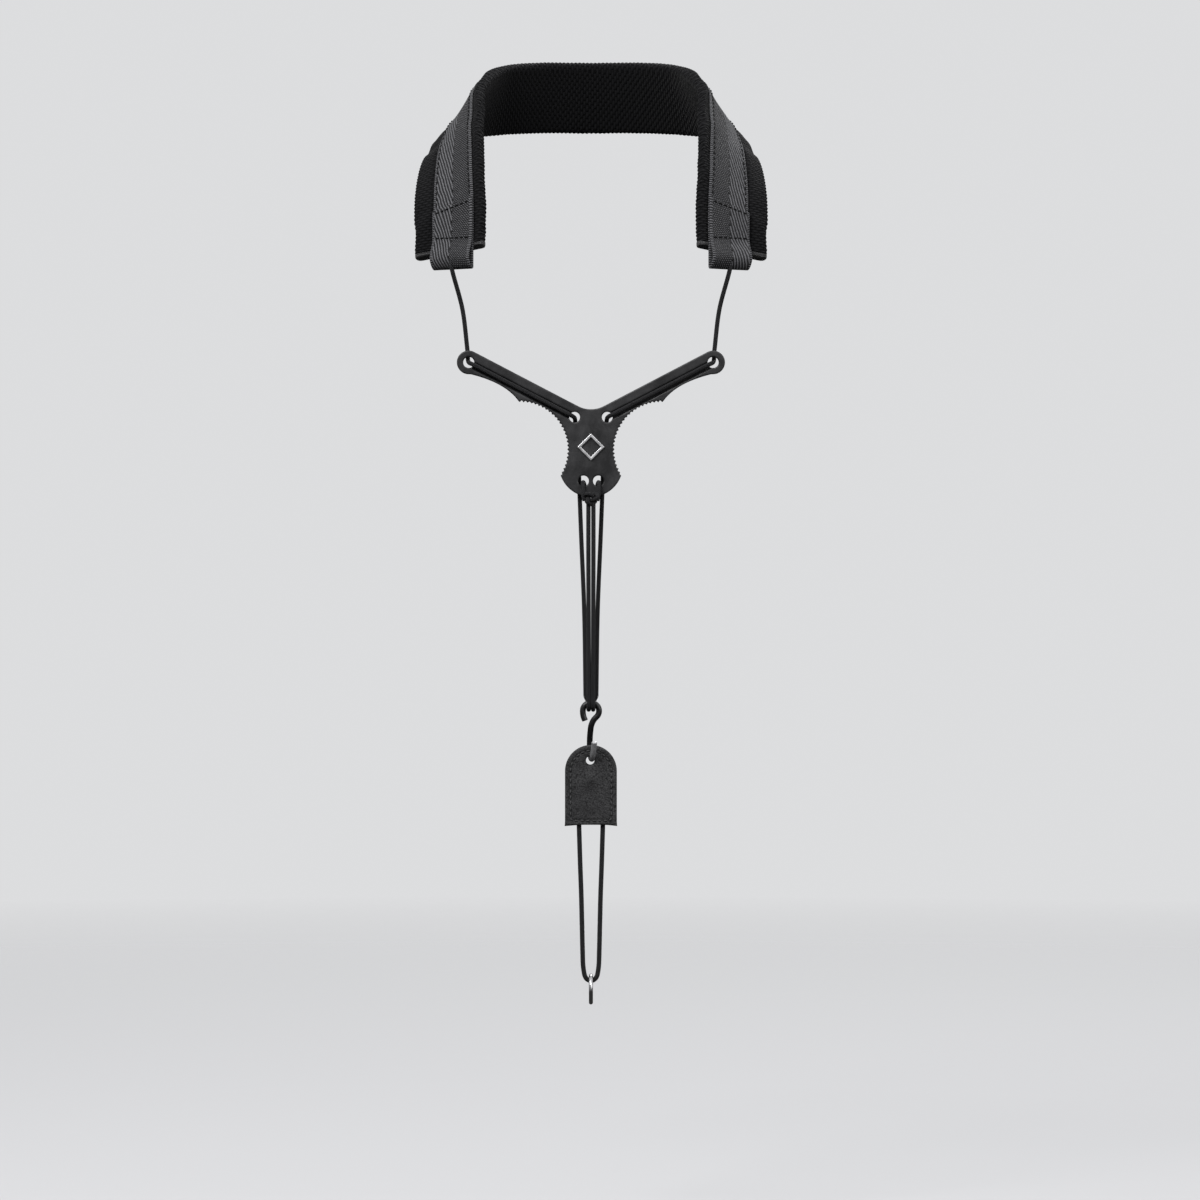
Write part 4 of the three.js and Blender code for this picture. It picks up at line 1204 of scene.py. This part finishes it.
def leather_height(x, z):
    """How far the leather's face stands out from flat: rolled edges, a sewn channel, a
    dished rim round the hole and a soft swelling over the knot inside."""
    edge = np.clip(tab_edge_distance(x, z), 0, None)
    rolled = -0.0006 * np.exp(-edge / 0.00045)
    channel = -0.0004 * np.exp(-(((edge - STITCH_INSET) / 0.0007) ** 2))
    to_hole = np.hypot(x - TAB_HOLE_X, z - TAB_HOLE[0]) - TAB_HOLE[1]
    rim = -0.00035 * np.exp(-np.clip(to_hole, 0, None) / 0.0006)
    knot = 0.0009 * np.exp(-((x / 0.0042) ** 2 + ((z + 0.0105) / 0.0045) ** 2))
    ends = 0.0004 * np.exp(-(((np.abs(x) - 0.0064) / 0.0018) ** 2)) * np.clip((-0.016 - z) / 0.006, 0, 1)
    return rolled + channel + rim + knot + ends


def leather_layer(name, facing, node):
    """One leather layer of the tab; facing is -1 for the front one and 1 for the back one."""
    z = TAB_TOP - TAB_HEIGHT * (1 - np.cos(np.linspace(0.06, math.pi / 2, 90)))
    z[-1] = TAB_BOTTOM
    x = np.sin(np.linspace(-math.pi / 2, math.pi / 2, 61))
    grid_x = x[None, :] * tab_half_width(z)[:, None]
    sag = np.clip((TAB_BOTTOM + 0.007 - z) / 0.007, 0, 1)[:, None] ** 1.5 * (1 - x[None, :] ** 4)
    grid_z = z[:, None] + 0.0007 * sag
    outer = facing * (STITCH_LINE_Y + leather_height(grid_x, grid_z))
    inner = np.full(outer.shape, facing * (FILLER_THICKNESS / 2 + GAP))
    front = np.stack([grid_x, outer, grid_z], axis=2)
    back = np.stack([grid_x, inner, grid_z], axis=2)
    ring = np.concatenate([front, back[:, ::-1]], axis=1)
    columns = ring.shape[1]
    ring = ring if facing < 0 else ring[::-1]
    u = np.linspace(0, 0.06, columns + 1)
    piece = new_piece(name, *lofted(ring + TAB_AT, u, np.arange(len(z)) * 0.0005))
    drill(piece, TAB_HOLE_X, *TAB_HOLE, at=TAB_AT)
    finished(piece, LEATHER, "tab", [node])


def stitch_route():
    """(x, z) points of the seam that runs round the tab, inside its edge."""
    half = TAB_HALF - STITCH_INSET
    bottom = TAB_BOTTOM + STITCH_INSET
    top = arc(half, 180, 0, 40) + (0, TAB_TOP - TAB_HALF)
    turn = [(-half + 0.0015, bottom), (-half + 0.0004, bottom + 0.0004), (-half, bottom + 0.0015)]
    left = np.array([(0, bottom), *turn])
    return np.vstack([left, top, left[::-1] * (-1, 1)])


def make_tab():
    leather_layer("tab_front_leather", -1, "tab_front")
    leather_layer("tab_back_leather", 1, "tab_back")
    route = stitch_route()
    rows = []
    for facing in (-1, 1):
        depth = np.full(len(route), facing * (STITCH_LINE_Y - 0.00025))
        path = resampled(np.stack([route[:, 0], depth, route[:, 1]], axis=1) + TAB_AT, 0.0004)
        normals = np.tile([0.0, facing, 0.0], (len(path), 1))
        rows.append(stitches(path, normals, length=0.0021, pitch=0.003, radius=0.00038))
    finished(new_piece("tab_seam", *joined(rows)), TAB_THREAD, "tab", ["tab_stitching"])


def make_filler():
    """The stiff layer between the leathers: an arch, open at the bottom for the elastic."""
    inset, bottom = 0.0004, TAB_BOTTOM + 0.0001
    outer = arc(TAB_HALF - inset, 0, 180, 40) + (0, TAB_TOP - TAB_HALF)
    side, corner, shoulder, top = 0.0086, 0.0056, -0.0082, -0.0052
    pocket = np.array([(-side, shoulder), (-corner, top), (corner, top), (side, shoulder)])
    left_leg = np.array([(inset - TAB_HALF, bottom), (-side, bottom + 0.0005)])
    outline = np.vstack([outer, left_leg, pocket, left_leg[::-1] * (-1, 1)])
    vertices, faces = slab(outline, FILLER_THICKNESS / 2, -FILLER_THICKNESS / 2)
    piece = new_piece("tab_core", np.array(vertices) + TAB_AT, faces, smooth=False)
    drill(piece, 0, -0.0003, 0.003, at=TAB_AT)
    finished(piece, LEATHER_EDGE, "tab", ["tab_filler"])


# ---------------------------------------------------------------- ring


def make_ring():
    radius, wire = 0.00725, 0.0011
    drop = ELASTIC / 2 + GAP + wire - radius
    around = arc(radius, 0, 360, 96)
    path = np.stack([np.zeros(97), around[:, 0], around[:, 1] + drop], axis=1) + RING_AT
    piece = new_piece("end_ring_plated", *closed_tube(path, wire, 20, 0.007, 0.045))
    finished(piece, PLATED_STEEL, "ring", ["end_ring"])


# ---------------------------------------------------------------- stage and light

FLOOR_Z = -0.62


def make_floor():
    """A pale round floor that fades out, so that it shows no edge."""
    rings, sides, reach = 24, 96, 3.0
    vertices = [(0, 0, FLOOR_Z)]
    for i in range(1, rings + 1):
        vertices += [(x, y, FLOOR_Z) for x, y in circle(reach * i / rings, sides)]
    faces = [[0, 1 + i, 1 + (i + 1) % sides] for i in range(sides)]
    for inner in range(1, 1 + (rings - 1) * sides, sides):
        outer = inner + sides
        for j in range(sides):
            n = (j + 1) % sides
            faces.append([inner + j, outer + j, outer + n, inner + n])
    floor = new_piece("floor", vertices, faces)
    m = Nodes("pale_floor", 0.9)
    m.shader.inputs["Base Color"].default_value = (0.55, 0.553, 0.56, 1)
    length = m.node("ShaderNodeVectorMath", {0: m.place()}, operation="LENGTH").outputs["Value"]
    m.set("Alpha", m.ramp(m.math("DIVIDE", length, reach), (0.3, 1.0), (0.95, 0.0)))
    floor.data.materials.append(m.material)
    floor.visible_diffuse = False
    floor.visible_glossy = False


def area_light(name, at, towards, size, power):
    data = bpy.data.lights.new(name, "AREA")
    data.shape = "RECTANGLE"
    data.size, data.size_y = size
    data.energy = power
    lamp = bpy.data.objects.new(name, data)
    lamp.location = at
    lamp.rotation_euler = (Vector(towards) - Vector(at)).to_track_quat("-Z", "Y").to_euler()
    bpy.context.scene.collection.objects.link(lamp)


def make_light():
    world = bpy.data.worlds.new("studio")
    bpy.context.scene.world = world
    world.use_nodes = True
    tree = world.node_tree
    backdrop = tree.nodes["Background"]
    backdrop.inputs["Color"].default_value = (0.72, 0.725, 0.735, 1)
    sky = tree.nodes.new("ShaderNodeBackground")
    height = tree.nodes.new("ShaderNodeSeparateXYZ")
    ramp = tree.nodes.new("ShaderNodeValToRGB")
    spread = tree.nodes.new("ShaderNodeMapRange")
    seen = tree.nodes.new("ShaderNodeLightPath")
    either = tree.nodes.new("ShaderNodeMixShader")
    spread.inputs["From Min"].default_value = -1.0
    ramp.color_ramp.elements[0].position = 0.4
    ramp.color_ramp.elements[0].color = (0.04, 0.04, 0.04, 1)
    ramp.color_ramp.elements[1].color = (0.95, 0.95, 0.97, 1)
    tree.links.new(tree.nodes.new("ShaderNodeTexCoord").outputs["Generated"], height.inputs[0])
    tree.links.new(height.outputs["Z"], spread.inputs["Value"])
    tree.links.new(spread.outputs["Result"], ramp.inputs[0])
    tree.links.new(ramp.outputs[0], sky.inputs["Color"])
    tree.links.new(seen.outputs["Is Camera Ray"], either.inputs[0])
    tree.links.new(sky.outputs[0], either.inputs[1])
    tree.links.new(backdrop.outputs[0], either.inputs[2])
    tree.links.new(either.outputs[0], tree.nodes["World Output"].inputs[0])
    middle = (0, -0.06, -0.24)
    area_light("key", (-1.0, -1.5, 1.5), middle, (1.1, 1.1), 40)
    area_light("fill", (1.7, -1.3, 0.5), middle, (1.2, 1.4), 12)
    area_light("rim", (0.5, 1.6, 1.3), middle, (1.4, 0.9), 16)
    bpy.context.scene.view_settings.view_transform = "Standard"


# ---------------------------------------------------------------- the whole object

make_camera()
make_upper_cords()
make_yoke_cords()
make_strands()
make_loop()
make_pad()
make_hems()
make_webbing()
make_band_seams()
make_yoke_plate()
make_emblem()
make_hook()
make_tab()
make_filler()
make_ring()
make_floor()
make_light()
